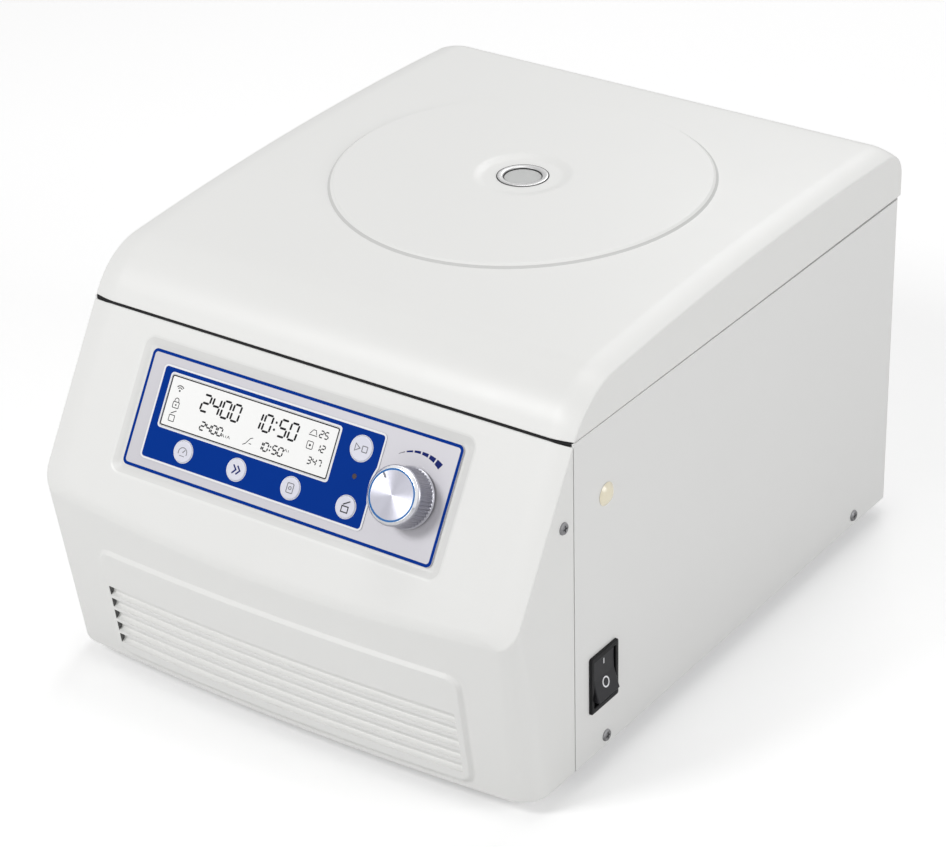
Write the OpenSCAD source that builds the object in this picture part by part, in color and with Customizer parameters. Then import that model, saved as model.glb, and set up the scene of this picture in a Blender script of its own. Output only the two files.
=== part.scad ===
// Benchtop cytocentrifuge with a rear-hinged lid, a sloped control panel and a four-place slide rotor.
// Millimetres, +Z up, +X to the right of the front. The origin lies under the middle of the
// instrument, on the surface that its feet stand on.

/* [Case] */
// Width across the side panels
case_w = 280; // [272:1:300]
// Depth of the side panels, from the front housing's seam to the rear face
case_d = 309.6; // [304:0.1:330]
// Height of the case from its underside to the lid seam
case_h = 176.6; // [174:0.1:190]
// Height of the rubber feet
foot_h = 9; // [5:0.5:14]
// Radius of the rubber feet
foot_r = 12; // [9:0.5:15]
// Distance of the foot centres from the side panels
foot_inset = 26; // [20:1:34]
// Thickness of the case's sheet metal
sheet_t = 1.5; // [1:0.1:2]
// Wall of the moulded shells
shell_t = 3; // [2.4:0.1:3.4]
// Bend radius at the rear corners of the case cover
bend_r = 5; // [4:0.5:8]
// Width of the flange that carries the top deck
flange_w = 10; // [6:0.5:14]
// Height of the base pan's upturned sides
pan_lip_h = 14; // [12:0.5:20]

/* [Front] */
// Angle of the control face from horizontal
slope_a = 58.67; // [56:0.01:61]
// Distance down the control face from the seam to the ridge, in the middle
ridge_v = 103.5; // [99:0.1:108]
// How much higher the ridge is at its ends than in the middle
ridge_bow = 8.5; // [4:0.1:12]
// Step of the control face in front of the side panels' slope
face_step = 2.2; // [1:0.1:4]
// Width of the soft band along the long edges
edge_w = 8.5; // [6:0.1:12]
// Radius of the control face's lower corners
ridge_corner_r = 12; // [6:0.5:20]
// Distance from the seam to the front's foot, in the middle
toe_d = 41.8; // [38:0.1:48]
// Sagitta of the front's foot across its width
toe_bow = 5; // [2:0.1:8]
// Radius of the front corners at the foot
toe_r = 15; // [8:0.5:24]

/* [Louvres] */
// Width of the raised louvre panel
vent_w = 216; // [190:1:226]
// Height of the raised louvre panel
vent_h = 66; // [60:0.5:72]
// Bottom of the louvre panel above the case's underside
vent_z = 3.5; // [2:0.5:6]
// How far the louvre panel stands out
vent_rise = 1.8; // [1:0.1:3]
// Number of louvres
louvre_n = 5; // [3:1:6]
// Spacing of the louvres
louvre_pitch = 7.55; // [6:0.05:9]
// Height of one louvre's slit
louvre_h = 3.4; // [2:0.1:3.8]
// Length of one louvre
louvre_w = 207; // [170:1:208]
// Height of the lowest louvre above the case's underside
louvre_z = 14.6; // [12:0.1:18]

/* [Lid] */
// Gap between the front housing and the lid
lid_gap = 1.8; // [1.2:0.1:2.4]
// How much the side panels stand above the front housing's seam
side_rise = 0.9; // [0.3:0.1:1.1]
// Radius of the fold between the sloped front and the top
fold_r = 40.5; // [30:0.5:46]
// Radius of the crown from front to rear
crown_r = 2100; // [1600:10:3000]
// Distance of the crown's highest line from the seam's front corner
crown_y = 207; // [180:1:230]
// Height of the crown above the seam, at the side panels
crown_h = 30.2; // [28:0.1:36]
// Drop of the soft band at the top's long edges
edge_drop = 3.4; // [2:0.1:5]
// Radius of the lid's top rear corner
lid_rear_r = 14; // [8:0.5:18]
// Radius of the raised disc on the lid
disc_r = 98.1; // [88:0.1:104]
// Height of the raised disc
disc_h = 1.3; // [0.8:0.1:2.5]
// Radius of the shallow dish round the window
dish_r = 23.5; // [18:0.5:30]
// Depth of the dish
dish_h = 1.2; // [0.6:0.1:1.8]
// Outer radius of the window's metal ring
window_ring_r = 13.1; // [11:0.1:16]
// Radius of the window's glass
window_r = 9.9; // [7:0.1:10.4]
// Thickness of the window's glass
window_t = 3; // [2:0.1:5]
// Thickness of the lid's liner
liner_t = 2.5; // [2:0.1:3.5]
// Height of the liner's underside above the lid's rim
liner_up = 1.2; // [0.8:0.1:4]

/* [Hinge and lock] */
// Distance of the hinge axis behind the rear face
hinge_out = 5.5; // [5:0.1:8]
// Height of the hinge axis above the seam
hinge_up = 1.2; // [0.6:0.1:1.6]
// Distance of each hinge from the middle
hinge_x = 85; // [60:1:110]
// Outer radius of the hinge knuckles
knuckle_r = 4.5; // [3.6:0.1:4.8]
// Radius of the hinge pins
hinge_pin_r = 2; // [1.5:0.1:2.6]
// Length of one hinge
hinge_w = 40; // [30:1:60]
// Thickness of the hinge leaves
leaf_t = 2.5; // [2:0.1:3]
// Distance of the lock's line from the seam's front corner
lock_y = 27; // [24:0.5:34]
// Depth of the lock's line below the seam
lock_down = 37.6; // [34:0.1:44]
// Radius of the lock bolt
bolt_r = 3; // [2:0.1:4]
// Travel of the lock bolt
bolt_travel = 8; // [6:0.5:9]
// Thickness of the latch hook
hook_t = 3; // [2:0.1:4]
// Width of the latch hook
hook_w = 13; // [12:0.5:15]
// Radius of the release plug's cap
plug_r = 5.85; // [4.5:0.05:8]
// Height of the release plug's cap
plug_h = 2.6; // [1.5:0.1:4]

/* [Control panel] */
// Width of the panel's recess
recess_w = 190.8; // [188:0.1:200]
// Height of the panel's recess
recess_v = 66.4; // [65:0.1:70]
// Depth of the panel's recess
recess_h = 1.7; // [1.2:0.1:2]
// Distance of the panel's middle from the object's middle
panel_u = -4.6; // [-10:0.1:0]
// Distance of the panel's middle down the face from the seam
panel_v = 42.6; // [40:0.1:46]
// Gap between the recess's edge and the silver plate
plate_gap = 4; // [2:0.1:4.5]
// Thickness of the silver plate
plate_t = 1; // [0.8:0.1:1.2]
// Thickness of the printed overlay
overlay_t = 0.3; // [0.2:0.05:0.5]
// Width of the display window
screen_w = 100.6; // [90:0.1:102]
// Height of the display window
screen_v = 25.5; // [20:0.1:27]
// Radius of the four function keys
key_r = 5.65; // [4.5:0.05:6.2]
// Radius of the start key
start_r = 6.8; // [5:0.05:7]
// Travel of the keys
key_travel = 0.8; // [0.4:0.1:0.9]
// Radius of the knob's skirt
knob_r = 14.2; // [12:0.1:15.5]
// Height of the knob
knob_h = 14.5; // [10:0.5:18]
// Radius of the knob's shaft
knob_shaft_r = 3; // [2:0.1:3.4]
// Radius of the status light
led_r = 1.2; // [0.8:0.1:1.6]
// Width of the rocker switch's bezel
rocker_w = 23.7; // [20:0.1:28]
// Height of the rocker switch's bezel
rocker_h = 31.2; // [26:0.1:34]
// Swing of the rocker from one side to the other
rocker_swing = 18; // [12:1:20]

/* [Chamber and drive] */
// Distance of the chamber's axis from the seam's front corner
chamber_y = 168.9; // [165:0.1:180]
// Inner radius of the chamber bowl
bowl_r = 104; // [100:0.5:107]
// Depth of the chamber bowl below the deck's top
bowl_depth = 100; // [98:0.5:104]
// Thickness of the bowl's stainless steel
bowl_t = 1; // [0.8:0.1:1.5]
// Width of the bowl's rim flange
bowl_rim_w = 10; // [8:0.5:12]
// Radius of the motor shaft
shaft_r = 5; // [4:0.1:6]
// Radius of the motor's case
motor_r = 42; // [36:0.5:46]
// Height of the motor's case
motor_h = 52; // [44:0.5:54]
// Side of the square motor plate
motor_plate_w = 124; // [116:1:140]
// Radius of the rubber mounts
damper_r = 9; // [7:0.5:11]

/* [Rotor] */
// Radius of the rotor's base disc
rotor_r = 74.5; // [72:0.1:78]
// Thickness of the rotor's base disc
rotor_t = 4; // [3:0.1:6]
// Radius of the rotor's hub
hub_r = 18; // [14:0.5:22]
// Distance of the clip pivots from the rotor's axis
pivot_r = 70; // [68:0.1:71]
// Radius of the clip pivots
pivot_pin_r = 2; // [1.5:0.1:2.5]
// Width of a glass slide
slide_w = 26; // [25:0.5:27]
// Length of a glass slide
slide_l = 76; // [75:0.5:77]
// Thickness of a glass slide
slide_t = 1; // [0.8:0.1:1.2]
// Sheet thickness of a slide clip
clip_t = 1.2; // [0.8:0.1:1.5]
// Outer radius of a sample chamber's cup
cup_r = 9; // [7:0.5:10]
// Wall of a sample chamber
cup_t = 1.6; // [1:0.1:2]

/* [Hidden] */

// Fits and small steps
press_gap = 0.02;
run_gap = 0.05;
loose_gap = 0.3;
flat_gap = 0.1;
seam_gap = 0.4;
through = 1;
sliver = 0.01;
round_fn = 64;
hull_fn = 32;

// Stations from front to rear, and levels from the feet up
nose = face_step + ridge_v * cos(slope_a);
total_d = nose + case_d + hinge_out + knuckle_r;
y_seam = nose - total_d / 2;
y_rear = y_seam + case_d;
y_chamber = y_seam + chamber_y;
y_lock = y_seam + lock_y;
y_hinge = y_rear + hinge_out;
z_case = foot_h;
z_seam = foot_h + case_h;
z_lid = z_seam + lid_gap;
z_side = z_seam + side_rise;
deck_t = 3;
z_deck = z_seam - 1.6;
z_flange = z_deck - deck_t;
z_lock = z_seam - lock_down;
z_hinge = z_seam + hinge_up;
z_liner = z_lid + liner_up;
half_w = case_w / 2;
face_half = half_w - edge_w;

// Lid outline
crown_c = [y_seam + crown_y, z_seam + crown_h - crown_r];
side_foot = [y_seam, z_seam];
face_foot = [y_seam - face_step, z_seam];
up_slope = [cos(slope_a), sin(slope_a)];
off_slope = [-sin(slope_a), cos(slope_a)];

// Centre of the fold's arc for a skin that starts at foot and has crown radius big and fold radius small
function fold_centre(foot, big, small) = let(
    start = foot - small * off_slope,
    q = start - crown_c,
    b = q * up_slope,
    t = -b + sqrt(b * b - q * q + pow(big - small, 2)))
    start + t * up_slope;

// Centre of the rear corner's arc
function rear_centre(y_back, big, small) = let(y = y_back - small)
    [y, crown_c.y + sqrt(pow(big - small, 2) - pow(y - crown_c.x, 2))];

// Points of an arc from one angle to another
function arc(c, r, a, b, n) = [for (i = [0:n]) let(t = a + (b - a) * i / n) c + r * [cos(t), sin(t)]];

function angle_of(v) = atan2(v.y, v.x);

// Lid outline in Y and Z: foot and rise choose the face or the side skin, inset moves it inwards
function lid_outline(foot, rise, inset, z_low) = let(
    p = foot - inset * off_slope,
    big = crown_r + rise - inset,
    small = fold_r - inset,
    back = y_rear - inset,
    rear_small = lid_rear_r - inset,
    c = fold_centre(p, big, small),
    e = rear_centre(back, big, rear_small))
    concat(
        [p + up_slope * (z_low - p.y) / sin(slope_a)],
        arc(c, small, 90 + slope_a, angle_of(c - crown_c), 10),
        arc(crown_c, big, angle_of(c - crown_c), angle_of(e - crown_c), 12),
        arc(e, rear_small, angle_of(e - crown_c), 0, 8),
        [[back, z_low]]);

module along_x(w) rotate([90, 0, 90]) linear_extrude(w, center = true) children();

module lid_bar(w, foot, rise, inset, z_low) along_x(w) polygon(lid_outline(foot, rise, inset, z_low));

// Height of the raised disc's top on the chamber's axis
z_disc = crown_c.y + sqrt(pow(crown_r + edge_drop + disc_h, 2) - pow(y_chamber - crown_c.x, 2));
z_dish = z_disc - dish_h;

// Places its children on the control face: x to the right, y up the slope, z out of the face
module on_face(u, v, h = 0)
    translate([0, face_foot.x, face_foot.y]) rotate([slope_a, 0, 0]) translate([u, -v, h]) children();

module on_panel(u, v, h = 0) on_face(panel_u + u, panel_v + v, h) children();

module bar(size, at) translate([at.x - size.x / 2, at.y - size.y / 2, at.z]) cube(size);

module rod_x(r, x0, x1, y, z) translate([x0, y, z]) rotate([0, 90, 0])
    cylinder(r = r, h = x1 - x0, $fn = round_fn);

module disc(r, z0, z1) translate([0, 0, z0]) cylinder(r = r, h = z1 - z0, $fn = round_fn);

// Rectangle with true round corners
module soft_rect(w, d, r) {
    square([w - 2 * r, d], center = true);
    square([w, d - 2 * r], center = true);
    for (x = [-1, 1], y = [-1, 1]) translate([x * (w / 2 - r), y * (d / 2 - r)]) circle(r, $fn = hull_fn);
}

// Plan of the case behind the front seam, moved in by g, with round rear corners
module case_plan(g, front) {
    w = half_w - g;
    r = max(bend_r - g, 0.5);
    back = y_rear - g;
    translate([-w, front]) square([2 * w, back - r - front]);
    translate([-(w - r), front]) square([2 * (w - r), back - front]);
    for (x = [-1, 1]) translate([x * (w - r), back - r]) circle(r, $fn = hull_fn);
}

// Base and case
pan_t = sheet_t;
pan_nose_w = 2 * (half_w - 20);
lip_front = 22;

foot_y = [y_seam - 8, y_rear - foot_inset];

module base_pan() color("lightslategray") difference() {
    union() {
        translate([0, 0, z_case]) linear_extrude(pan_t) case_plan(sheet_t, y_seam + seam_gap);
        bar([pan_nose_w, lip_front + seam_gap, pan_t], [0, y_seam - lip_front / 2 + seam_gap, z_case]);
        translate([0, 0, z_case]) linear_extrude(pan_lip_h) difference() {
            case_plan(sheet_t, y_seam + seam_gap);
            case_plan(2 * sheet_t, y_seam - through);
        }
    }
    case_screw_holes();
}

module feet() color("dimgray")
    for (x = [-1, 1], y = foot_y) translate([x * (half_w - foot_inset), y, 0]) {
        cylinder(r1 = foot_r - 1.5, r2 = foot_r, h = 2, $fn = round_fn);
        translate([0, 0, 2]) cylinder(r = foot_r, h = foot_h - 2, $fn = round_fn);
    }

// Screws: distance behind the seam's front corner and height above the case's underside
screw_r = 1.5;
screw_head_r = 3.1;
screw_head_h = 1.2;
screw_rim_h = 0.5;
screw_cross = [3.6, 0.8];
screw_len = 8;
screw_up = 5.8;
cover_screws = [[26.7, screw_up], [case_d - 38.2, screw_up]];
housing_screw = [-9, case_h - 38.1];
side_screws = concat(cover_screws, [housing_screw]);
rear_screw_x = half_w - 30;

module side_holes(spots, r) for (x = [-1, 1], s = spots)
    translate([x * half_w, y_seam + s.x, z_case + s.y]) rotate([0, 90, 0])
        cylinder(r = r, h = 4 * screw_len, center = true, $fn = round_fn);

module case_screw_holes() {
    side_holes(side_screws, screw_r + run_gap);
    for (x = [-1, 1]) translate([x * rear_screw_x, y_rear, z_case + screw_up]) rotate([90, 0, 0])
        cylinder(r = screw_r + run_gap, h = 2 * screw_len, center = true, $fn = round_fn);
}

module screw() {
    difference() {
        rotate_extrude($fn = round_fn) polygon([[0, 0], [screw_head_r, 0], [screw_head_r, screw_rim_h],
            [screw_head_r - screw_rim_h, screw_head_h], [0, screw_head_h]]);
        for (a = [0, 90]) rotate(a) bar([screw_cross.x, screw_cross.y, screw_head_h], [0, 0, screw_rim_h]);
    }
    translate([0, 0, -screw_len]) cylinder(r = screw_r, h = screw_len, $fn = round_fn);
}

module case_screws() color("gray") {
    for (x = [-1, 1], s = side_screws)
        translate([x * half_w, y_seam + s.x, z_case + s.y]) rotate([0, x * 90, 0]) screw();
    for (x = [-1, 1]) translate([x * rear_screw_x, y_rear, z_case + screw_up]) rotate([-90, 0, 0]) screw();
}

// Side openings: the rocker switch and the release plug
rocker_at = [y_seam + 23.7, z_case + 41];
rocker_body_w = rocker_w - 2.4;
rocker_body_h = rocker_h - 2.4;
plug_stem_r = plug_r - 2;

// Rear openings: the mains inlet and air slots
inlet_x = half_w - 55;
inlet_z = z_case + 42;
inlet_w = 27.5;
inlet_h = 20;
fuse_h = 9;
slot_w = 60;
slot_h = 3;

slot_pitch = 7;
slot_n = 8;
slots_at = [-half_w + slot_w, z_case + 30];

// Brackets that join the cover to the front housing
bracket_y = 13;
bracket_foot = 4;
bracket_h = 20;
z_bracket = z_case + housing_screw.y - bracket_h / 2;

module case_cover() color("gainsboro") difference() {
    union() {
        translate([0, 0, z_case]) linear_extrude(z_side - z_case) difference() {
            case_plan(0, y_seam + seam_gap / 2);
            case_plan(sheet_t, y_seam - through);
        }
        // Flange under the deck
        translate([0, 0, z_flange - sheet_t]) linear_extrude(sheet_t) difference() {
            case_plan(sheet_t - sliver, y_seam + shell_t);
            case_plan(sheet_t + flange_w, y_seam - through);
        }
        // Brackets that reach into the front housing for its side screws
        for (x = [-1, 1]) {
            bar([sheet_t, 2 * bracket_y, bracket_h],
                [x * (half_w - shell_t - flat_gap - sheet_t / 2), y_seam, z_bracket]);
            bar([shell_t + flat_gap, bracket_y - bracket_foot, bracket_h],
                [x * (half_w - (shell_t + flat_gap + sheet_t) / 2), y_seam + (bracket_y + bracket_foot) / 2, z_bracket]);
        }
    }
    case_screw_holes();
    // Rocker switch
    bar([4 * sheet_t, rocker_body_w + 2 * flat_gap, rocker_body_h + 2 * flat_gap],
        [half_w, rocker_at.x, rocker_at.y - rocker_body_h / 2 - flat_gap]);
    // Release plug
    rod_x(plug_stem_r + run_gap, half_w - 4 * sheet_t, half_w + through, y_lock, z_lock);
    // Mains inlet
    bar([inlet_w + 2 * flat_gap, 4 * sheet_t, inlet_h + fuse_h + 2 * flat_gap],
        [inlet_x, y_rear, inlet_z - inlet_h / 2 - fuse_h - flat_gap]);
    // Air slots in the rear wall
    for (i = [0:slot_n - 1])
        bar([slot_w, 4 * sheet_t, slot_h], [slots_at.x, y_rear, slots_at.y + i * slot_pitch]);
}

// Front housing. g moves the skin inwards. reach carries the hollow past the rear and top.
ridge_half = face_half;
ridge_big_r = (pow(ridge_half, 2) + pow(ridge_bow, 2)) / (2 * ridge_bow);
toe_half = half_w - toe_r;
toe_big_r = (pow(toe_half, 2) + pow(toe_bow, 2)) / (2 * toe_bow);
side_ridge_v = ridge_v - ridge_bow + 1;
ridge_steps = 14;
inner_ridge = 0.4;

function bow(big, u) = big - sqrt(big * big - u * u);

module face_plate(g, reach) on_face(0, 0, -g - sliver) linear_extrude(sliver) intersection() {
    polygon(concat(
        [for (i = [0:ridge_steps]) let(u = -face_half + g + (2 * face_half - 2 * g) * i / ridge_steps)
            [u, -(ridge_v - bow(ridge_big_r, u) - inner_ridge * g)]],
        [[face_half - g, reach], [-face_half + g, reach]]));
    union() {
        translate([-face_half + g, -ridge_v + ridge_bow + ridge_corner_r])
            square([2 * (face_half - g), 2 * ridge_v]);
        translate([-face_half + g + ridge_corner_r, -ridge_v])
            square([2 * (face_half - g - ridge_corner_r), 2 * ridge_v]);
        for (x = [-1, 1]) translate([x * (face_half - g - ridge_corner_r), -ridge_v + ridge_bow + ridge_corner_r])
            circle(ridge_corner_r, $fn = hull_fn);
    }
}

// Side outline of the ridge: where its bend starts and ends, and its point out from the slope
bend_v = [7, 2];
bend_out = [1, 0];
ridge_tip = [4.2, -2];
side_low = 60;

module side_plate(g, reach) let(
    p = side_foot - g * off_slope,
    v = side_ridge_v - inner_ridge * g)
    along_x(case_w - 2 * g) polygon([
        p + reach * up_slope,
        p - (v - bend_v[0]) * up_slope,
        p - (v - bend_v[1]) * up_slope + bend_out,
        p - v * up_slope + ridge_tip,
        [y_seam - seam_gap / 2 + reach, z_case + side_low],
        [y_seam - seam_gap / 2 + reach, z_seam + reach * sin(slope_a)]]);

module toe_plate(g, z) translate([0, 0, z]) linear_extrude(sliver) {
    w = half_w - g;
    r = toe_r - g / 2;
    polygon(concat(
        [for (i = [0:ridge_steps]) let(x = -w + r + (2 * w - 2 * r) * i / ridge_steps)
            [x, y_seam - toe_d + bow(toe_big_r, x) + g]],
        [[w, y_seam - toe_d + toe_bow + r + g], [w, y_seam - seam_gap / 2],
        [-w, y_seam - seam_gap / 2], [-w, y_seam - toe_d + toe_bow + r + g]]));
    for (x = [-1, 1]) translate([x * (w - r), y_seam - toe_d + toe_bow + r + g]) circle(r, $fn = hull_fn);
}

module front_solid(g, reach, z_low) hull() {
    face_plate(g, reach);
    side_plate(g, reach);
    toe_plate(g, z_low);
}

function louvre_level(i) = z_case + louvre_z + i * louvre_pitch;

plate_w = recess_w - 2 * plate_gap;
plate_v = recess_v - 2 * plate_gap;
boss_r = 2.8;
board_w = plate_w;
board_v = plate_v;
board_t = 1.6;
board_down = 12.9;
board_top = -board_down + board_t;
boss_u = board_w / 2 - 3.5;
boss_v = board_v / 2 - 2.5;
window_cut_w = 2 * boss_u - 4 * boss_r;
window_cut_v = 2 * boss_v - 2.4 * boss_r;

vent_corner_r = 8;
louvre_a = 30;

module front_housing() color("whitesmoke") difference() {
    union() {
        difference() {
            union() {
                front_solid(0, 0, z_case);
                intersection() {
                    front_solid(-vent_rise, 0, z_case);
                    translate([0, y_seam - toe_d / 2, z_case + vent_z + vent_h / 2]) rotate([90, 0, 0])
                        linear_extrude(2 * toe_d) soft_rect(vent_w, vent_h, vent_corner_r);
                }
            }
            front_solid(shell_t, 2 * shell_t, z_case + shell_t - 1);
            bar([pan_nose_w + 2 * flat_gap, lip_front + 2 * through, 3 * shell_t],
                [0, y_seam - lip_front / 2 + through, z_case - shell_t]);
        }
        // Bosses for the control board
        for (x = [-1, 1], y = [-1, 1]) on_panel(x * boss_u, y * boss_v, board_top)
            cylinder(r = boss_r, h = -board_top - recess_h - 0.5, $fn = hull_fn);
    }
    // Recess and its opening
    on_panel(0, 0, -recess_h) linear_extrude(4 * recess_h) soft_rect(recess_w, recess_v, 5);
    on_panel(0, 0, -3 * shell_t) linear_extrude(4 * shell_t) soft_rect(window_cut_w, window_cut_v, 3);
    // Louvre slits, sloping up and inwards
    for (i = [0:louvre_n - 1]) translate([0, y_seam - toe_d - 4, louvre_level(i)]) rotate([louvre_a, 0, 0])
        bar([louvre_w, 10 * shell_t, louvre_h], [0, 0, -louvre_h / 2]);
    side_holes([housing_screw], screw_r + run_gap);
}

// Deck, seal and chamber
bowl_hole_r = bowl_r + bowl_t + 0.5;
z_bowl = z_deck - bowl_depth;
hook_hole_w = 10;
hook_hole_d = hook_w + hook_hole_w;
deck_front = y_seam - face_step + shell_t / sin(slope_a) + loose_gap;

module top_deck() color("whitesmoke") difference() {
    translate([0, 0, z_flange]) linear_extrude(deck_t) case_plan(sheet_t + loose_gap, deck_front);
    translate([0, y_chamber, 0]) disc(bowl_hole_r, z_flange - through, z_deck + through);
    bar([hook_hole_w, hook_hole_d, 3 * deck_t], [0, y_lock, z_flange - deck_t]);
}

seal_w = 5;
seal_h = 2.3;

module deck_seal() color("black") translate([0, 0, z_deck]) linear_extrude(seal_h) difference() {
    case_plan(sheet_t + 2 * loose_gap, deck_front + loose_gap);
    translate([-half_w + 2 * seal_w, deck_front + loose_gap + seal_w])
        square([case_w - 4 * seal_w, y_rear - deck_front - 3 * seal_w]);
}

shaft_hole_r = shaft_r + 7;
seal_flange = 8;
seal_flange_h = 1.5;
seal_lip = 2;
seal_lip_h = 4.5;
z_seal_lip = z_bowl + seal_flange_h;

module chamber_bowl() color("silver") translate([0, y_chamber, 0]) difference() {
    union() {
        disc(bowl_r + bowl_t, z_bowl - bowl_t, z_deck + bowl_t);
        disc(bowl_r + bowl_rim_w, z_deck, z_deck + bowl_t);
    }
    disc(bowl_r, z_bowl, z_deck + 2 * bowl_t);
    disc(shaft_hole_r, z_bowl - 2 * bowl_t, z_bowl + through);
}

module shaft_seal() color("black") translate([0, y_chamber, 0]) difference() {
    union() {
        disc(shaft_hole_r - flat_gap, z_bowl - bowl_t, z_bowl);
        disc(shaft_hole_r + seal_flange, z_bowl, z_seal_lip);
        disc(shaft_hole_r - seal_lip, z_seal_lip, z_seal_lip + seal_lip_h);
    }
    disc(shaft_r + loose_gap, z_bowl - through - bowl_t, z_seal_lip + seal_lip_h + through);
}

// Drive
motor_plate_t = 3;
motor_cap_t = 2;
spigot_w = 8;
damper_waist = 2;
z_motor_plate = z_bowl - bowl_t - 4 - motor_plate_t;
damper_at = motor_plate_w / 2 - damper_r - 4;
z_motor = z_motor_plate - motor_h;
z_spigot = z_motor_plate + motor_plate_t + 1;

module motor_plate() color("silver") translate([0, y_chamber, 0]) difference() {
    bar([motor_plate_w, motor_plate_w, motor_plate_t], [0, 0, z_motor_plate]);
    disc(shaft_r + spigot_w + loose_gap, z_motor_plate - through, z_motor_plate + motor_plate_t + through);
}

module motor_dampers() color("black")
    for (x = [-1, 1], y = [-1, 1]) translate([x * damper_at, y_chamber + y * damper_at, z_case + pan_t])
        rotate_extrude($fn = round_fn) let(h = z_motor_plate - z_case - pan_t) polygon([[0, 0], [damper_r, 0],
            [damper_r, h / 4], [damper_r - damper_waist, h / 2], [damper_r, 3 * h / 4], [damper_r, h], [0, h]]);

module motor_housing() color("dimgray") translate([0, y_chamber, 0]) difference() {
    union() {
        disc(motor_r, z_motor, z_motor_plate);
        disc(shaft_r + spigot_w, z_motor_plate, z_spigot);
    }
    disc(shaft_r + run_gap, z_motor + motor_cap_t, z_spigot + through);
}

// The pivots stand above the middle of the slides, so that the slides hang upright
pivot_up = 62;
thread_r = shaft_r - 2;
thread_h = 10;
z_rotor = z_bowl + 9;
z_rotor_top = z_rotor + rotor_t;
z_pivot = z_rotor_top + pivot_up;

module motor_shaft() color("silver") translate([0, y_chamber, 0]) {
    disc(shaft_r, z_motor + 2 * motor_cap_t, z_pivot);
    disc(thread_r, z_pivot, z_pivot + thread_h);
}

// Rotor. Each place has its own frame: x outwards, y along the pivot, z up.
place_angles = [45, 135, 225, 315];

module place(i) translate([0, y_chamber, 0]) rotate([0, 0, place_angles[i - 1]]) children();

wing_half = slide_w / 2 + 2 + clip_t;
arm_t = 3;
arm_in = wing_half + 2 * loose_gap;
arm_up_pivot = 6;
arm_top = z_pivot + arm_up_pivot;
arm_end = pivot_r + 5;
arm_root = pivot_r - 14;
clip_in = rotor_r + loose_gap;
slide_r = clip_in + 4.5;
clip_back = slide_r + slide_t;
clip_out = clip_back + clip_t;
z_slide = z_rotor_top + clip_t + 1;

module rotor_body() color("silver") difference() {
    union() {
        translate([0, y_chamber, 0]) {
            disc(rotor_r, z_rotor, z_rotor_top);
            disc(hub_r, z_rotor, z_pivot);
        }
        for (i = [1:4]) place(i) for (s = [-1, 1])
            bar([arm_end, arm_t, arm_top - z_rotor - sliver],
                [arm_end / 2, s * (arm_in + arm_t / 2), z_rotor + sliver]);
    }
    translate([0, y_chamber, 0]) disc(shaft_r + run_gap, z_rotor - through, arm_top + through);
    translate([0, y_chamber, 0]) disc(arm_root, z_pivot, arm_top + through);
    for (i = [1:4]) place(i) translate([pivot_r, 0, z_pivot]) rotate([90, 0, 0])
        cylinder(r = pivot_pin_r + run_gap, h = 4 * arm_in, center = true, $fn = round_fn);
}

nut_r = hub_r - 6;
nut_h = 17;
nut_flange = 2;
nut_flange_h = 3;
nut_flute_r = 1.2;

module rotor_nut() color("dimgray") translate([0, y_chamber, 0]) difference() {
    union() {
        disc(nut_r + nut_flange, z_pivot, z_pivot + nut_flange_h);
        disc(nut_r, z_pivot + nut_flange_h, z_pivot + nut_h);
    }
    disc(thread_r + run_gap, z_pivot - through, z_pivot + thread_h + 2);
    for (a = [0:30:330]) rotate([0, 0, a]) translate([nut_r, 0, z_pivot + nut_flange_h + 1])
        cylinder(r = nut_flute_r, h = nut_h, $fn = hull_fn);
}

clip_h = slide_l + 3;
z_clip = z_slide - clip_t;
clip_eye_r = 8;
lug_h = 2 * pivot_pin_r + 8;
lug_in = pivot_r - 2 * pivot_pin_r;
pin_len = arm_in + arm_t - wing_half + clip_t / 2;

module slide_clip(i) color("lightgray") place(i) {
    wing = wing_half - clip_t / 2;
    difference() {
        bar([clip_t, 2 * wing_half, clip_h], [clip_back + clip_t / 2, 0, z_clip]);
        translate([clip_back - through, 0, z_clip + clip_h / 2]) rotate([0, 90, 0])
            cylinder(r = clip_eye_r, h = 3 * through, $fn = round_fn);
    }
    bar([clip_out - clip_in, 2 * wing_half, clip_t], [(clip_out + clip_in) / 2, 0, z_clip]);
    for (s = [-1, 1]) {
        bar([clip_out - clip_in, clip_t, clip_h], [(clip_out + clip_in) / 2, s * wing, z_clip]);
        bar([clip_out - lug_in, clip_t, lug_h], [(clip_out + lug_in) / 2, s * wing, z_pivot - lug_h / 2]);
        translate([pivot_r, s * (wing + pin_len / 2), z_pivot]) rotate([90, 0, 0])
            cylinder(r = pivot_pin_r, h = pin_len, center = true, $fn = round_fn);
    }
}

module glass_slide(i) color("lightcyan") place(i)
    bar([slide_t, slide_w, slide_l], [slide_r + slide_t / 2, 0, z_slide]);

cup_x = pivot_r - 6;
cup_top = z_slide + slide_l + 2;
cup_foot = z_slide + 20;
cup_rim = 1.5;
cup_rim_h = 2;
duct_z = cup_foot + 7;
duct_r = 6;
duct_bore_r = 3.5;
pad_t = 3;
pad_h = 40;
pad_out = slide_r - flat_gap;

module sample_chamber(i) color("white") place(i) difference() {
    union() {
        translate([cup_x, 0, 0]) disc(cup_r, cup_foot, cup_top);
        translate([cup_x, 0, 0]) disc(cup_r + cup_rim, cup_top - cup_rim_h, cup_top);
        translate([cup_x, 0, duct_z]) rotate([0, 90, 0]) cylinder(r = duct_r, h = pad_out - cup_x, $fn = round_fn);
        bar([pad_t, slide_w, pad_h], [pad_out - pad_t / 2, 0, duct_z - pad_h / 2]);
    }
    translate([cup_x, 0, 0]) disc(cup_r - cup_t, cup_foot + cup_t, cup_top + through);
    translate([cup_x, 0, duct_z]) rotate([0, 90, 0]) cylinder(r = duct_bore_r, h = pad_out, $fn = round_fn);
}

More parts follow.
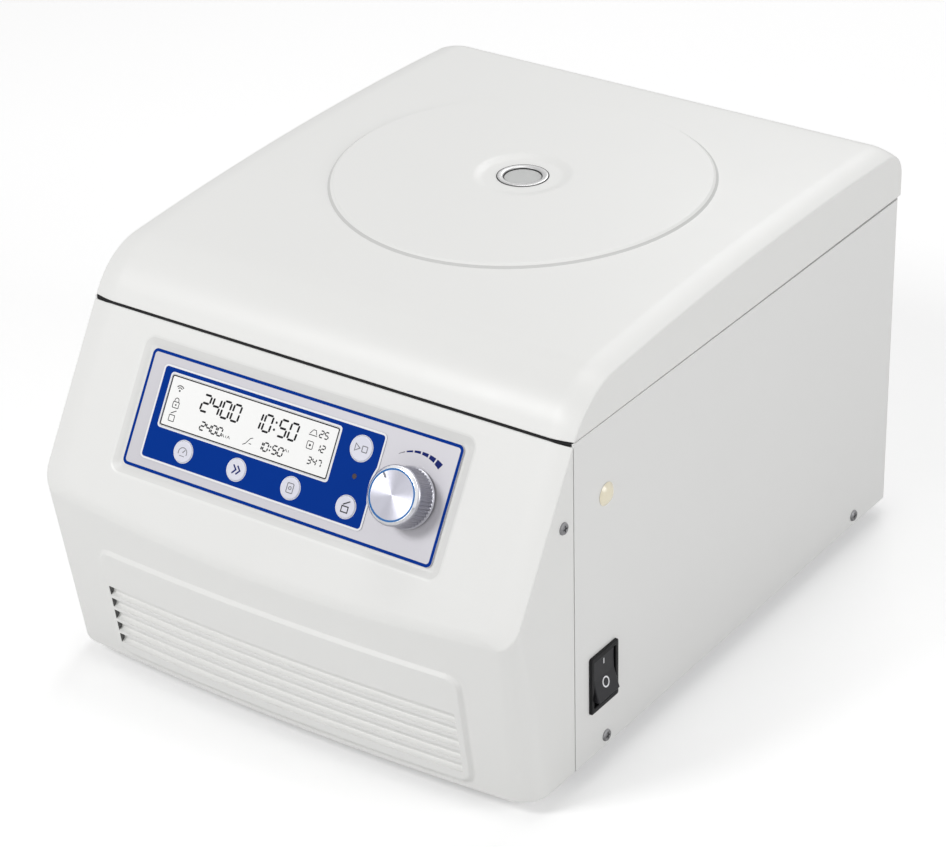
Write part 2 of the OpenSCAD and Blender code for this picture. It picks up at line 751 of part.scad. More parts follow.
// Lid
module lid_cover() color("whitesmoke") difference() {
    union() {
        hull() {
            lid_bar(case_w, side_foot, 0, 0, z_lid);
            lid_bar(2 * face_half, face_foot, edge_drop, 0, z_lid);
        }
        intersection() {
            translate([0, y_chamber, z_lid]) cylinder(r = disc_r, h = 2 * crown_h, $fn = 128);
            lid_bar(2 * disc_r, face_foot, edge_drop, -disc_h, z_lid);
        }
    }
    lid_bar(case_w - 2 * shell_t, side_foot, 0, shell_t, z_lid - through);
    lid_bar(2 * face_half - 2 * shell_t, face_foot, edge_drop, shell_t, z_lid - through);
    translate([0, y_chamber, 0]) {
        disc(window_ring_r + run_gap, z_lid, z_disc + through);
        translate([0, 0, z_dish]) cylinder(r1 = dish_r - 4, r2 = dish_r + 2, h = 1.5 * dish_h, $fn = round_fn);
    }
}

sleeve_r = window_ring_r - 1.6;

module window_ring() color("silver") translate([0, y_chamber, 0]) difference() {
    union() {
        disc(window_ring_r, z_disc - shell_t, z_dish + 0.5);
        disc(sleeve_r, z_liner + liner_t, z_disc - shell_t);
    }
    disc(window_r, z_liner, z_disc + through);
}

module window_glass() color("lightcyan") translate([0, y_chamber, 0])
    disc(window_r - run_gap, z_dish - window_t - 0.6, z_dish - 0.6);

module lid_liner() color("gainsboro") difference() {
    intersection() {
        lid_bar(case_w - 2 * shell_t - 2 * loose_gap, side_foot, 0, shell_t + loose_gap, z_lid - through);
        bar([2 * case_w, 2 * case_d, liner_t], [0, y_chamber, z_liner]);
    }
    translate([0, y_chamber, 0]) disc(window_r, z_liner - through, z_liner + 2 * liner_t);
}

gasket_w = 6;

module chamber_gasket() color("black") translate([0, y_chamber, 0]) difference() {
    disc(bowl_r + 2 + gasket_w, z_deck + bowl_t + loose_gap, z_liner);
    disc(bowl_r + 2, z_deck, z_liner + through);
}

hook_toe = 8;
hook_pad = 16;

module latch_hook() color("silver") {
    hook_foot = z_lock - hook_toe;
    difference() {
        union() {
            bar([hook_t, hook_w, z_liner - hook_foot], [0, y_lock, hook_foot]);
            bar([hook_pad, hook_w, hook_t], [0, y_lock, z_liner - hook_t]);
        }
        bar([3 * hook_t, 2 * bolt_r + 2, 2 * bolt_r + 2], [0, y_lock, z_lock - bolt_r - 1]);
    }
}

// Hinges
knuckle_w = 10;
knuckle_in = hinge_w / 2 - knuckle_w;
leaf_down = 24;
arm_up = 6;
arm_sweep = knuckle_r + 1.5;

module at_hinges() for (x = [-1, 1]) translate([x * hinge_x, y_hinge, z_hinge]) children();

module hinge_bases() color("silver") at_hinges() difference() {
    union() {
        for (s = [-1, 1]) {
            middle = s * (knuckle_in + knuckle_w / 2);
            rod_x(knuckle_r, middle - knuckle_w / 2, middle + knuckle_w / 2, 0, 0);
            bar([knuckle_w, hinge_out, leaf_down], [middle, -hinge_out / 2, -leaf_down]);
        }
        bar([hinge_w, leaf_t, leaf_down - arm_sweep], [0, -hinge_out + leaf_t / 2, -leaf_down]);
    }
    rod_x(hinge_pin_r + press_gap, -hinge_w, hinge_w, 0, 0);
    // Flat that leaves the lid's rear wall its way
    bar([2 * hinge_w, hinge_out, 2 * knuckle_r], [0, -hinge_out, side_rise - hinge_up - seam_gap]);
}

// The arms' wide part starts above the bases' knuckles, so that it swings over them
module hinge_arms() color("silver") at_hinges() difference() {
    union() {
        rod_x(knuckle_r, -knuckle_in + loose_gap, knuckle_in - loose_gap, 0, 0);
        bar([2 * (knuckle_in - loose_gap), hinge_out, knuckle_r], [0, -hinge_out / 2, lid_gap - hinge_up]);
        bar([hinge_w, leaf_t, arm_up], [0, -hinge_out + leaf_t / 2, knuckle_r + loose_gap]);
    }
    rod_x(hinge_pin_r + run_gap, -hinge_w, hinge_w, 0, 0);
}

module hinge_pins() color("gray") at_hinges() rod_x(hinge_pin_r, -hinge_w / 2 - 1, hinge_w / 2 + 1, 0, 0);

// Lock
lock_plate_t = 3;
solenoid_r = 11;
solenoid_len = 41;
bolt_tip = bolt_travel / 2;
lock_front = bolt_tip + 4;
coil_front = lock_front + lock_plate_t;
coil_back = coil_front + solenoid_len;
lock_back = coil_back + lock_plate_t;
lock_mid = (lock_front + lock_back) / 2;
bolt_back = lock_back + 3;
lock_foot_w = 30;
z_lock_top = z_lock + solenoid_r + flat_gap;

module lock_body() color("gray") difference() {
    union() {
        for (x = [lock_front, coil_back])
            bar([lock_plate_t, 2 * solenoid_r, 2 * solenoid_r + 2 * flat_gap],
                [x + lock_plate_t / 2, y_lock, z_lock - solenoid_r]);
        bar([lock_back - lock_front, 2 * solenoid_r, lock_plate_t], [lock_mid, y_lock, z_lock_top]);
        bar([lock_plate_t, 2 * solenoid_r, z_flange - z_lock_top], [lock_mid, y_lock, z_lock_top]);
        bar([lock_foot_w, 2 * solenoid_r, lock_plate_t], [lock_mid, y_lock, z_flange - lock_plate_t]);
    }
    rod_x(bolt_r + run_gap, 0, 2 * bolt_back, y_lock, z_lock);
}

module lock_solenoid() color("peru") difference() {
    rod_x(solenoid_r, coil_front, coil_back, y_lock, z_lock);
    rod_x(bolt_r + run_gap, 0, 2 * bolt_back, y_lock, z_lock);
}

module lock_bolt() color("silver") rod_x(bolt_r, bolt_tip, bolt_back, y_lock, z_lock);

rod_r = bolt_r - 1;
rod_head_h = 2;
plug_stem = 4 * sheet_t;

module release_rod() color("silver") {
    rod_end = half_w - plug_stem - 2 * rod_head_h;
    rod_x(rod_r, bolt_back, rod_end, y_lock, z_lock);
    rod_x(bolt_r, rod_end, rod_end + rod_head_h, y_lock, z_lock);
}

plug_dome_r = plug_r * plug_r / plug_h / 2 + plug_h / 2;

module release_plug() color("cornsilk") translate([half_w + flat_gap, y_lock, z_lock]) rotate([0, 90, 0]) {
    rotate_extrude($fn = round_fn) intersection() {
        translate([0, plug_h - plug_dome_r]) circle(plug_dome_r, $fn = 128);
        square([plug_r, plug_h]);
    }
    translate([0, 0, -plug_stem]) cylinder(r = plug_stem_r, h = plug_stem, $fn = round_fn);
}

// Control panel. Levels are heights above the control face.
plate_foot = -recess_h;
plate_top = plate_foot + plate_t;
overlay_top = plate_top + overlay_t;
overlay_left = -plate_w / 2 + 10.4;
overlay_right = plate_w / 2 - 41.6;
overlay_half_v = 22.5;
screen_margin = [4.8, 2.85];
screen_at = [overlay_left + screen_margin.x + screen_w / 2, -overlay_half_v + screen_margin.y + screen_v / 2];
key_pitch = 32.3;
key_spots = [for (i = [0:3]) [overlay_left + 23 + i * key_pitch, overlay_half_v - 7.9]];
start_at = [overlay_right - 11.4, -overlay_half_v + 9];
led_at = [overlay_right - 11, -0.2];
knob_at = [plate_w / 2 - 21.3, 1.4];
screen_corner_r = 1;
board_hole_r = 1.2;
chip = [30, 14, 3];
led_up = 5;
switch_w = 6;
switch_h = 3.5;
key_flange = 0.9;
key_flange_h = 1.2;
key_proud = 0.5;

module face_drill(at, r) on_panel(at.x, at.y, -2 * recess_h)
    cylinder(r = r, h = 4 * recess_h, $fn = round_fn);

module face_holes() {
    on_panel(screen_at.x, screen_at.y, -2 * recess_h) linear_extrude(4 * recess_h)
        soft_rect(screen_w + 2 * flat_gap, screen_v + 2 * flat_gap, screen_corner_r);
    for (k = key_spots) face_drill(k, key_r + flat_gap);
    face_drill(start_at, start_r + flat_gap);
    face_drill(led_at, led_r + run_gap);
}

bushing_r = knob_shaft_r + 1.4;

module panel_plate() color("lightsteelblue") difference() {
    on_panel(0, 0, plate_foot) linear_extrude(plate_t) soft_rect(plate_w, plate_v, 3);
    face_holes();
    face_drill(knob_at, bushing_r + flat_gap);
}

notch_r = knob_r + 5.5;

module panel_overlay() color("royalblue") difference() {
    on_panel((overlay_left + overlay_right) / 2, 0, plate_top) linear_extrude(overlay_t)
        soft_rect(overlay_right - overlay_left, 2 * overlay_half_v, 2);
    face_holes();
    face_drill(knob_at, notch_r);
}

module display_window() color("lightcyan") on_panel(screen_at.x, screen_at.y, plate_foot)
    linear_extrude(overlay_top - plate_foot) soft_rect(screen_w, screen_v, screen_corner_r);

module lcd_module() color("darkslategray") on_panel(screen_at.x, screen_at.y, board_top)
    linear_extrude(plate_foot - board_top) square([screen_w + 4, screen_v + 1.5], center = true);

module control_board() color("seagreen") {
    on_panel(0, 0, -board_down) linear_extrude(board_t) difference() {
        square([board_w, board_v], center = true);
        for (x = [-1, 1], y = [-1, 1])
            translate([x * boss_u, y * boss_v]) circle(board_hole_r, $fn = hull_fn);
    }
    for (k = concat(key_spots, [start_at])) on_panel(k.x, k.y, board_top)
        linear_extrude(switch_h) square(switch_w, center = true);
    on_panel(led_at.x, led_at.y, board_top) cylinder(r = led_r + 2 * loose_gap, h = led_up, $fn = hull_fn);
    on_panel(screen_at.x, 0, -board_down - chip.z) linear_extrude(chip.z)
        square([chip.x, chip.y], center = true);
}

module key(at, r) on_panel(at.x, at.y, 0) {
    flange_top = plate_foot - flat_gap;
    flange_foot = flange_top - key_flange_h;
    stem_foot = board_top + switch_h + key_travel + 2 * flat_gap;
    translate([0, 0, flange_foot]) cylinder(r = r, h = overlay_top + key_proud - flange_foot, $fn = round_fn);
    translate([0, 0, flange_foot]) cylinder(r = r + key_flange, h = key_flange_h, $fn = round_fn);
    translate([0, 0, stem_foot]) cylinder(r = r / 3, h = flange_foot - stem_foot, $fn = round_fn);
}

module key_start() color("gainsboro") key(start_at, start_r);
module key_mode() color("gainsboro") key(key_spots[0], key_r);
module key_shift() color("gainsboro") key(key_spots[1], key_r);
module key_program() color("gainsboro") key(key_spots[2], key_r);
module key_lid() color("gainsboro") key(key_spots[3], key_r);

module status_led() color("firebrick") on_panel(led_at.x, led_at.y, board_top + led_up)
    cylinder(r = led_r, h = overlay_top - board_top - led_up, $fn = round_fn);

knob_foot = overlay_top + 0.5;
knob_hollow = 8;
cap_t = 1;
cap_inset = 0.8;
mark_l = 5;
mark_w = 0.8;
mark_h = 0.4;
ribs = 48;
rib_r = 0.7;
rib_out = 0.3;

module speed_knob() color("silver") on_panel(knob_at.x, knob_at.y, 0) difference() {
    union() {
        translate([0, 0, knob_foot]) cylinder(r = knob_r, h = knob_h - cap_t - knob_foot, $fn = 128);
        translate([0, 0, -encoder_down]) cylinder(r = knob_shaft_r, h = knob_h - 2, $fn = round_fn);
    }
    difference() {
        translate([0, 0, knob_foot - through]) cylinder(r = bushing_r + 3, h = knob_hollow, $fn = round_fn);
        translate([0, 0, -encoder_down - through]) cylinder(r = knob_shaft_r, h = knob_h, $fn = round_fn);
    }
    for (i = [0:ribs - 1]) rotate([0, 0, 360 * i / ribs]) translate([knob_r + rib_out, 0, knob_foot + 1])
        cylinder(r = rib_r, h = knob_h - cap_t - knob_foot - 3, $fn = 16);
}

module knob_cap() color("white") on_panel(knob_at.x, knob_at.y, knob_h - cap_t) difference() {
    cylinder(r = knob_r - cap_inset, h = cap_t, $fn = 128);
    translate([0, knob_r - mark_l, cap_t - mark_h]) linear_extrude(through)
        square([mark_w, mark_l], center = true);
}

encoder_w = 13;
encoder_h = 5.5;
encoder_down = 6;
bushing_top = 3.5;

module encoder() color("dimgray") on_panel(knob_at.x, knob_at.y, 0) difference() {
    union() {
        translate([0, 0, board_top]) linear_extrude(encoder_h) square(encoder_w, center = true);
        translate([0, 0, board_top + encoder_h])
            cylinder(r = bushing_r, h = bushing_top - board_top - encoder_h, $fn = round_fn);
    }
    translate([0, 0, board_top + 2]) cylinder(r = knob_shaft_r + run_gap, h = 2 * knob_h, $fn = round_fn);
}

// Rocker switch
rocker_pivot_x = half_w - 6;
rocker_pin_r = 1.5;
rocker_pin_out = 1;
rocker_depth = 16;
bezel_t = 1.6;
paddle_w = rocker_body_w - 3.4;
paddle_h = rocker_body_h - 4.6;
well_h = paddle_h + 1.4;
well_floor = half_w - 13;
// Half of the paddle's outline across the pivot: distance out of the case and height
paddle_root = [-4, 3];
paddle_neck = [4, paddle_h / 2 - 1.6];
paddle_tip = [8.6, paddle_h / 2 - 1];
paddle_dip = [7, 0];

module rocker_pin(r, out) rotate([90, 0, 0])
    cylinder(r = r, h = paddle_w + 2 * out, center = true, $fn = round_fn);

module rocker_bezel() color("black") translate([0, rocker_at.x, rocker_at.y]) difference() {
    union() {
        bar([bezel_t, rocker_w, rocker_h], [half_w + bezel_t / 2, 0, -rocker_h / 2]);
        bar([rocker_depth, rocker_body_w, rocker_body_h], [half_w - rocker_depth / 2, 0, -rocker_body_h / 2]);
    }
    bar([rocker_depth + bezel_t, paddle_w + 2 * loose_gap, well_h],
        [well_floor + (rocker_depth + bezel_t) / 2, 0, -well_h / 2]);
    translate([rocker_pivot_x, 0, 0])
        rocker_pin(rocker_pin_r + run_gap, rocker_pin_out + seam_gap / 2);
}

function down(p) = [p.x, -p.y];

module rocker_paddle() color("black") translate([rocker_pivot_x, rocker_at.x, rocker_at.y]) {
    rotate([0, -rocker_swing / 2, 0]) rotate([90, 0, 0]) linear_extrude(paddle_w, center = true)
        polygon([down(paddle_root), paddle_root, paddle_neck, paddle_tip,
            paddle_dip, down(paddle_tip), down(paddle_neck)]);
    rocker_pin(rocker_pin_r, rocker_pin_out);
}

// Mains inlet with its fuse drawer
inlet_depth = 20;
inlet_rim = 2.5;
inlet_rim_t = 2;
socket = [24, 13.5, 16.5];
fuse_w = 22;
fuse_l = 15;
fuse_v = 6;
z_fuse = inlet_z - inlet_h / 2 - fuse_h + 1;
blade = [2, 14, 4];
blade_spots = [[-7, -1.5], [7, -1.5], [0, 3]];

module mains_inlet() color("black") translate([inlet_x, y_rear, 0]) {
    difference() {
        union() {
            bar([inlet_w + 2 * inlet_rim, inlet_rim_t, inlet_h + fuse_h + 2 * inlet_rim],
                [0, inlet_rim_t / 2, inlet_z - inlet_h / 2 - fuse_h - inlet_rim]);
            bar([inlet_w, inlet_depth, inlet_h + fuse_h],
                [0, -inlet_depth / 2, inlet_z - inlet_h / 2 - fuse_h]);
        }
        bar([socket.x, 2 * socket.y, socket.z], [0, 0, inlet_z - socket.z / 2]);
        bar([fuse_w + 2 * flat_gap, 2 * socket.y, fuse_v + 2 * flat_gap], [0, 0, z_fuse - flat_gap]);
    }
    for (p = blade_spots) bar(blade, [p.x, -1 - blade.y / 2, inlet_z + p.y - blade.z / 2]);
}

module fuse_drawer() color("dimgray") translate([inlet_x, y_rear, z_fuse])
    bar([fuse_w, fuse_l + 1, fuse_v], [0, 3 - (fuse_l + 1) / 2, 0]);

// Power supply board on its posts
supply = [56, 90, 1.6];
supply_at = [-half_w + 40, y_rear - 62];
post_r = 3;
post_h = 8;
post_in = 4;
z_supply = z_case + pan_t + post_h + supply.z;
choke = [24, 22, 20];
sink = [4, 60, 24];
can_r = 6;
can_h = 22;
can_spots = [[12, 8], [12, 24]];

module power_board() color("seagreen") translate([supply_at.x, supply_at.y, 0]) {
    bar(supply, [0, 0, z_supply - supply.z]);
    for (x = [-1, 1], y = [-1, 1]) translate([x * (supply.x / 2 - post_in), y * (supply.y / 2 - post_in), 0])
        disc(post_r, z_case + pan_t, z_supply - supply.z);
    bar(choke, [-8, -20, z_supply]);
    for (s = can_spots) translate([s.x, s.y, 0]) disc(can_r, z_supply, z_supply + can_h);
    bar(sink, [-supply.x / 2 + sink.x, 5, z_supply]);
}

base_pan();
feet();
case_cover();
front_housing();
top_deck();
deck_seal();
chamber_bowl();
shaft_seal();
motor_plate();
motor_dampers();
motor_housing();
motor_shaft();
rotor_body();
rotor_nut();
slide_clip(1);  // slide_clip_1
slide_clip(2);  // slide_clip_2
slide_clip(3);  // slide_clip_3
slide_clip(4);  // slide_clip_4
glass_slide(1);  // glass_slide_1
glass_slide(2);  // glass_slide_2
glass_slide(3);  // glass_slide_3
glass_slide(4);  // glass_slide_4
sample_chamber(1);  // sample_chamber_1
sample_chamber(2);  // sample_chamber_2
sample_chamber(3);  // sample_chamber_3
sample_chamber(4);  // sample_chamber_4
lid_cover();
lid_liner();
chamber_gasket();
window_ring();
window_glass();
latch_hook();
hinge_bases();
hinge_arms();
hinge_pins();
lock_body();
lock_solenoid();
lock_bolt();
release_rod();
release_plug();
panel_plate();
panel_overlay();
display_window();
lcd_module();
control_board();
key_start();
key_mode();
key_shift();
key_program();
key_lid();
status_led();
speed_knob();
knob_cap();
encoder();
rocker_bezel();
rocker_paddle();
mains_inlet();
fuse_drawer();
power_board();
case_screws();
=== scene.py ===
from math import atan2, cos, pi, radians, sin, sqrt, tan

import bmesh
import bpy
from mathutils import Matrix, Vector
from mathutils.geometry import tessellate_polygon


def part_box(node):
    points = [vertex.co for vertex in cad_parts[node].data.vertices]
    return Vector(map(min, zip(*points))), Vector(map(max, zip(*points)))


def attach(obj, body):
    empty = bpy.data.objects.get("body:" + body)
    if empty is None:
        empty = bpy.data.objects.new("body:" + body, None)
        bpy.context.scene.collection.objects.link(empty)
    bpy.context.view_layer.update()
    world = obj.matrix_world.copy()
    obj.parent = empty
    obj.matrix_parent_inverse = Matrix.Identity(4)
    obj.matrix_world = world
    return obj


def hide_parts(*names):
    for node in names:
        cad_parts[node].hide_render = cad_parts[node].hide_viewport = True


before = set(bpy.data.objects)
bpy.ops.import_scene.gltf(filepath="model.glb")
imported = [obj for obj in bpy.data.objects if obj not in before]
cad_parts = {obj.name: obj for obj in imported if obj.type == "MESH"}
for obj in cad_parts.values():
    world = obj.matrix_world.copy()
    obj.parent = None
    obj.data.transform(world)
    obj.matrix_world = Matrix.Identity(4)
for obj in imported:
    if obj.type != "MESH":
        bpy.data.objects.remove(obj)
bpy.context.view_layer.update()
scene = bpy.context.scene

# All sizes are in millimetres and become metres when a mesh is made.
MM = 0.001


def low(node):
    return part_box(node)[0] / MM


def high(node):
    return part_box(node)[1] / MM


def middle(node, axis):
    return (low(node)[axis] + high(node)[axis]) / 2


# Stations of the case, taken from the frame
HALF_W = high("case_cover").x
Y_REAR = high("case_cover").y
CASE_D = 309.6
Y_SEAM = Y_REAR - CASE_D
Z_CASE = low("case_cover").z
Z_LID = low("lid_cover").z
LID_GAP = 1.8
LID_RIM_DROP = 0.7
Z_SEAM = Z_LID - LID_GAP
Y_CHAMBER = middle("window_glass", 1)

# Control face: a plane that leans back from its lower ridge
SLOPE = radians(58.67)
UP = (cos(SLOPE), sin(SLOPE))
OUT = (-sin(SLOPE), cos(SLOPE))
FACE_STEP = 2.2
WALL = 3.0


def smooth(t):
    """Eased step from 0 to 1."""
    t = min(max(t, 0.0), 1.0)
    return t * t * (3 - 2 * t)


def ramp(t):
    """Straight step from 0 to 1 with slightly eased ends."""
    t = min(max(t, 0.0), 1.0)
    return 0.8 * t + 0.2 * smooth(t)


def mix(a, b, t):
    return tuple(p + (q - p) * t for p, q in zip(a, b))


def face_point(u, v, h=0.0):
    """Point of the control face: u to the right, v down from the seam, h out of the face."""
    return (u, Y_SEAM - FACE_STEP - v * UP[0] + h * OUT[0], Z_SEAM - v * UP[1] + h * OUT[1])


def face_height(y, z):
    return (y - Y_SEAM + FACE_STEP) * OUT[0] + (z - Z_SEAM) * OUT[1]


def face_v(y, z):
    return -(y - Y_SEAM + FACE_STEP) * UP[0] - (z - Z_SEAM) * UP[1]


# Mesh building

class Shape:
    """Collects the faces of one closed body. Points at the same place share a vertex."""

    def __init__(self):
        self.points, self.faces, self.mats, self.soft = [], [], [], []
        self.index = {}

    def point(self, p):
        key = tuple(round(c, 4) for c in p)
        if key not in self.index:
            self.index[key] = len(self.points)
            self.points.append(p)
        return self.index[key]

    def face(self, points, mat=0):
        ids = list(dict.fromkeys(self.point(p) for p in points))
        if len(ids) > 2:
            self.faces.append(ids)
            self.mats.append(mat)

    def grid(self, rows, closed=False, mat=0):
        for a, b in zip(rows, rows[1:]):
            count = len(a)
            for k in range(count if closed else count - 1):
                j = (k + 1) % count
                self.face((a[k], a[j], b[j], b[k]), mat)

    def tube(self, loops):
        """Closed body over a row of loops, with a flat face at each end."""
        self.grid(loops, closed=True)
        self.face(loops[0])
        self.face(loops[-1])

    def holed(self, outline, hole):
        """Flat face with one hole, split into triangles."""
        points = list(outline) + list(hole)
        for tri in tessellate_polygon([[Vector(p) for p in outline], [Vector(p) for p in hole]]):
            self.face([points[i] for i in tri])

    def prism(self, outline, h0, h1):
        """Closed slab over a flat outline of (x, y) points."""
        self.tube([[(x, y, h) for x, y in outline] for h in (h0, h1)])

    def band(self, outer, inner, h0, h1):
        """Closed ring between two outlines with the same number of points."""
        edges = ((outer, h0), (outer, h1), (inner, h1), (inner, h0), (outer, h0))
        self.grid([[(x, y, h) for x, y in line] for line, h in edges], closed=True)

    def line(self, path, width, h0, h1, closed=False):
        """Flat stroke of even width along (x, y) points, with mitred joints."""
        left, right = (offset_path(path, d, closed) for d in (width / 2, -width / 2))
        if closed:
            self.band(left, right, h0, h1)
        else:
            self.prism(left + right[::-1], h0, h1)

    def strokes(self, rows, h0, h1):
        """Strokes from rows of (points, width), with True at the end of a closed one."""
        for path, width, *closed in rows:
            self.line(path, width, h0, h1, *closed)

    def lathe(self, profile, n=96, mat=0, y=0.0, wave=None):
        """Turns a closed or axis-to-axis profile of (radius, height) points round a line along Z."""
        rings = []
        for r, h in profile:
            angles = [2 * pi * k / n for k in range(n)]
            radii = [r + wave(a, h) if wave else r for a in angles]
            rings.append([(q * cos(a), y + q * sin(a), h) for q, a in zip(radii, angles)])
        self.grid(rings, closed=True, mat=mat)

    def soften(self, path):
        """Marks an edge path for the bevel."""
        self.soft.append(path)


def offset_path(path, d, closed=False):
    """Path moved to its left by d, with mitred corners."""
    out = []
    n = len(path)
    for i, p in enumerate(path):
        before = path[i - 1] if i or closed else None
        after = path[(i + 1) % n] if i < n - 1 or closed else None
        normals = []
        for a, b in ((before, p), (p, after)):
            if a is not None and b is not None:
                dx, dy = b[0] - a[0], b[1] - a[1]
                length = sqrt(dx * dx + dy * dy)
                normals.append((-dy / length, dx / length))
        nx = sum(q[0] for q in normals) / len(normals)
        ny = sum(q[1] for q in normals) / len(normals)
        scale = 1 / max(nx * nx + ny * ny, 0.3)
        out.append((p[0] + d * nx * scale, p[1] + d * ny * scale))
    return out


def arc(cx, cy, r, n, start, stop):
    """Points from one angle to another, both included."""
    angles = [start + (stop - start) * k / (n - 1) for k in range(n)]
    return [(cx + r * cos(a), cy + r * sin(a)) for a in angles]


def circle(cx, cy, r, n=48):
    return arc(cx, cy, r, n + 1, 0.0, 2 * pi)[:-1]


def round_rect(cx, cy, w, h, r, n=8):
    """Rectangle with round corners, counter-clockwise from the lower right corner."""
    out = []
    for sx, sy, a in ((1, -1, -pi / 2), (1, 1, 0.0), (-1, 1, pi / 2), (-1, -1, pi)):
        x, y = cx + sx * (w / 2 - r), cy + sy * (h / 2 - r)
        out += [(x + r * cos(a + pi / 2 * k / n), y + r * sin(a + pi / 2 * k / n)) for k in range(n + 1)]
    return out


def make(name, shape, mats, body, slot, nodes=(), place=Matrix(), bevel=0.0, sharp=35.0, weighted=True):
    """Makes the piece, sets its finish and hides the CAD nodes that it stands for."""
    mesh = bpy.data.meshes.new(name)
    mesh.from_pydata([tuple(c * MM for c in p) for p in shape.points], [], shape.faces)
    for m in mats:
        mesh.materials.append(m)
    for poly, m in zip(mesh.polygons, shape.mats):
        poly.material_index = m
    mesh.validate()

    # All faces get the same outward sense
    bm = bmesh.new()
    bm.from_mesh(mesh)
    bmesh.ops.recalc_face_normals(bm, faces=bm.faces)
    bm.to_mesh(mesh)
    bm.free()
    if shape.soft:
        weights = mesh.attributes.new("bevel_weight_edge", "FLOAT", "EDGE")
        pairs = set()
        for path in shape.soft:
            ids = [shape.point(p) for p in path]
            pairs.update(frozenset(q) for q in zip(ids, ids[1:]))
        for e in mesh.edges:
            if frozenset(e.vertices) in pairs:
                weights.data[e.index].value = 1.0
    mesh.shade_smooth()
    mesh.set_sharp_from_angle(angle=radians(sharp))
    obj = new_object(name, mesh)
    obj.matrix_world = place
    if bevel:
        mod = obj.modifiers.new("edge", "BEVEL")
        mod.width = bevel * MM
        mod.segments = 3
        mod.limit_method = "WEIGHT" if shape.soft else "ANGLE"
        mod.angle_limit = radians(40)
    if weighted:
        mod = obj.modifiers.new("normals", "WEIGHTED_NORMAL")
        mod.keep_sharp = True
        mod.weight = 60
    bpy.context.view_layer.update()
    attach(obj, body)
    if nodes:
        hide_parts(*nodes)


def new_object(name, data):
    obj = bpy.data.objects.new(name, data)
    scene.collection.objects.link(obj)
    return obj


# Materials: noise scales are per metre, depths of relief in metres
BROAD_NOISE = 14.0
GLOSS_NOISE = 60.0
GRAIN_DEPTH = 0.0002
SCRATCH_DEPTH = 0.00005


def put(node, **values):
    """Sets constants on a node's own sockets; an underscore stands for a space."""
    for name, value in values.items():
        node.inputs[name.replace("_", " ")].default_value = value


def add(nodes, kind, **values):
    node = nodes.new("ShaderNode" + kind)
    put(node, **values)
    return node


def noise(nodes, links, place, scale, detail):
    tex = add(nodes, "TexNoise", Scale=scale, Detail=detail)
    links.new(place, tex.inputs["Vector"])
    return tex.outputs["Fac"]


def relief(nodes, links, shader, height, strength, depth):
    bump = add(nodes, "Bump", Strength=strength, Distance=depth)
    links.new(height, bump.inputs["Height"])
    links.new(bump.outputs["Normal"], shader.inputs["Normal"])


def material(name, color, rough=0.4, metal=0.0, spread=0.02, grain=None, wear=0.06, coat=0.0,
             specular=0.5, build=None, **sockets):
    """Principled material that varies a little, from noise in object space; grain is (strength, mm)."""
    mat = bpy.data.materials.new(name)
    mat.use_nodes = True
    nodes, links = mat.node_tree.nodes, mat.node_tree.links
    shader = nodes["Principled BSDF"]
    put(shader, Metallic=metal, Specular_IOR_Level=specular, Coat_Weight=coat, Coat_Roughness=0.12, **sockets)
    place = add(nodes, "TexCoord").outputs["Object"]
    tone = add(nodes, "Mix")
    tone.data_type = "RGBA"
    links.new(noise(nodes, links, place, BROAD_NOISE, 3), tone.inputs["Factor"])
    put(tone, A=(*[c * (1 - spread) for c in color], 1), B=(*[min(c * (1 + spread), 1.0) for c in color], 1))
    links.new(tone.outputs["Result"], shader.inputs["Base Color"])
    gloss = add(nodes, "MapRange", To_Min=max(rough - wear, 0.02), To_Max=rough + wear)
    links.new(noise(nodes, links, place, GLOSS_NOISE, 4), gloss.inputs["Value"])
    links.new(gloss.outputs["Result"], shader.inputs["Roughness"])
    if grain:
        strength, size = grain
        relief(nodes, links, shader, noise(nodes, links, place, 1 / (size * MM), 2), strength, GRAIN_DEPTH)
    if build:
        build(nodes, links, shader)
    return mat


def spun(nodes, links, shader):
    """Fine turned rings about the local Z axis, for a face cut on a lathe."""
    put(shader, Anisotropic=0.85)
    tangent = add(nodes, "Tangent")
    tangent.direction_type = "RADIAL"
    tangent.axis = "Z"
    links.new(tangent.outputs["Tangent"], shader.inputs["Tangent"])
    rings = add(nodes, "TexWave", Scale=900.0, Distortion=1.0)
    rings.wave_type = "RINGS"
    rings.rings_direction = "Z"
    links.new(add(nodes, "TexCoord").outputs["Object"], rings.inputs["Vector"])
    relief(nodes, links, shader, rings.outputs["Fac"], 0.08, SCRATCH_DEPTH)


def brushed(nodes, links, shader):
    """Long fine scratches along the local X axis."""
    stretch = add(nodes, "Mapping", Scale=(40.0, 3000.0, 3000.0))
    links.new(add(nodes, "TexCoord").outputs["Object"], stretch.inputs["Vector"])
    relief(nodes, links, shader, noise(nodes, links, stretch.outputs["Vector"], 1.0, 2), 0.12, SCRATCH_DEPTH)


SHELL = material("white moulding", (0.84, 0.84, 0.825), 0.38, grain=(0.1, 0.9), spread=0.006)
# Painted shade: a darker copy of the white moulding, on the rings at the foot of the lid's raised disc
DISC_FOOT_PAINTED_SHADE = material("disc foot painted shade", (0.62, 0.62, 0.61), 0.45, grain=(0.1, 0.9), spread=0.01)
# Painted shade: a darker copy of the white moulding, on the wall and floor of the control panel's recess
RECESS_PAINTED_SHADE = material("recess painted shade", (0.77, 0.77, 0.755), 0.4, grain=(0.1, 0.9), spread=0.006)
# Painted shade: a darker copy of the white moulding, on a strip under each louvre's lip
LOUVRE_PAINTED_SHADE = material("louvre painted shade", (0.66, 0.66, 0.65), 0.5, grain=(0.1, 0.9), spread=0.02)
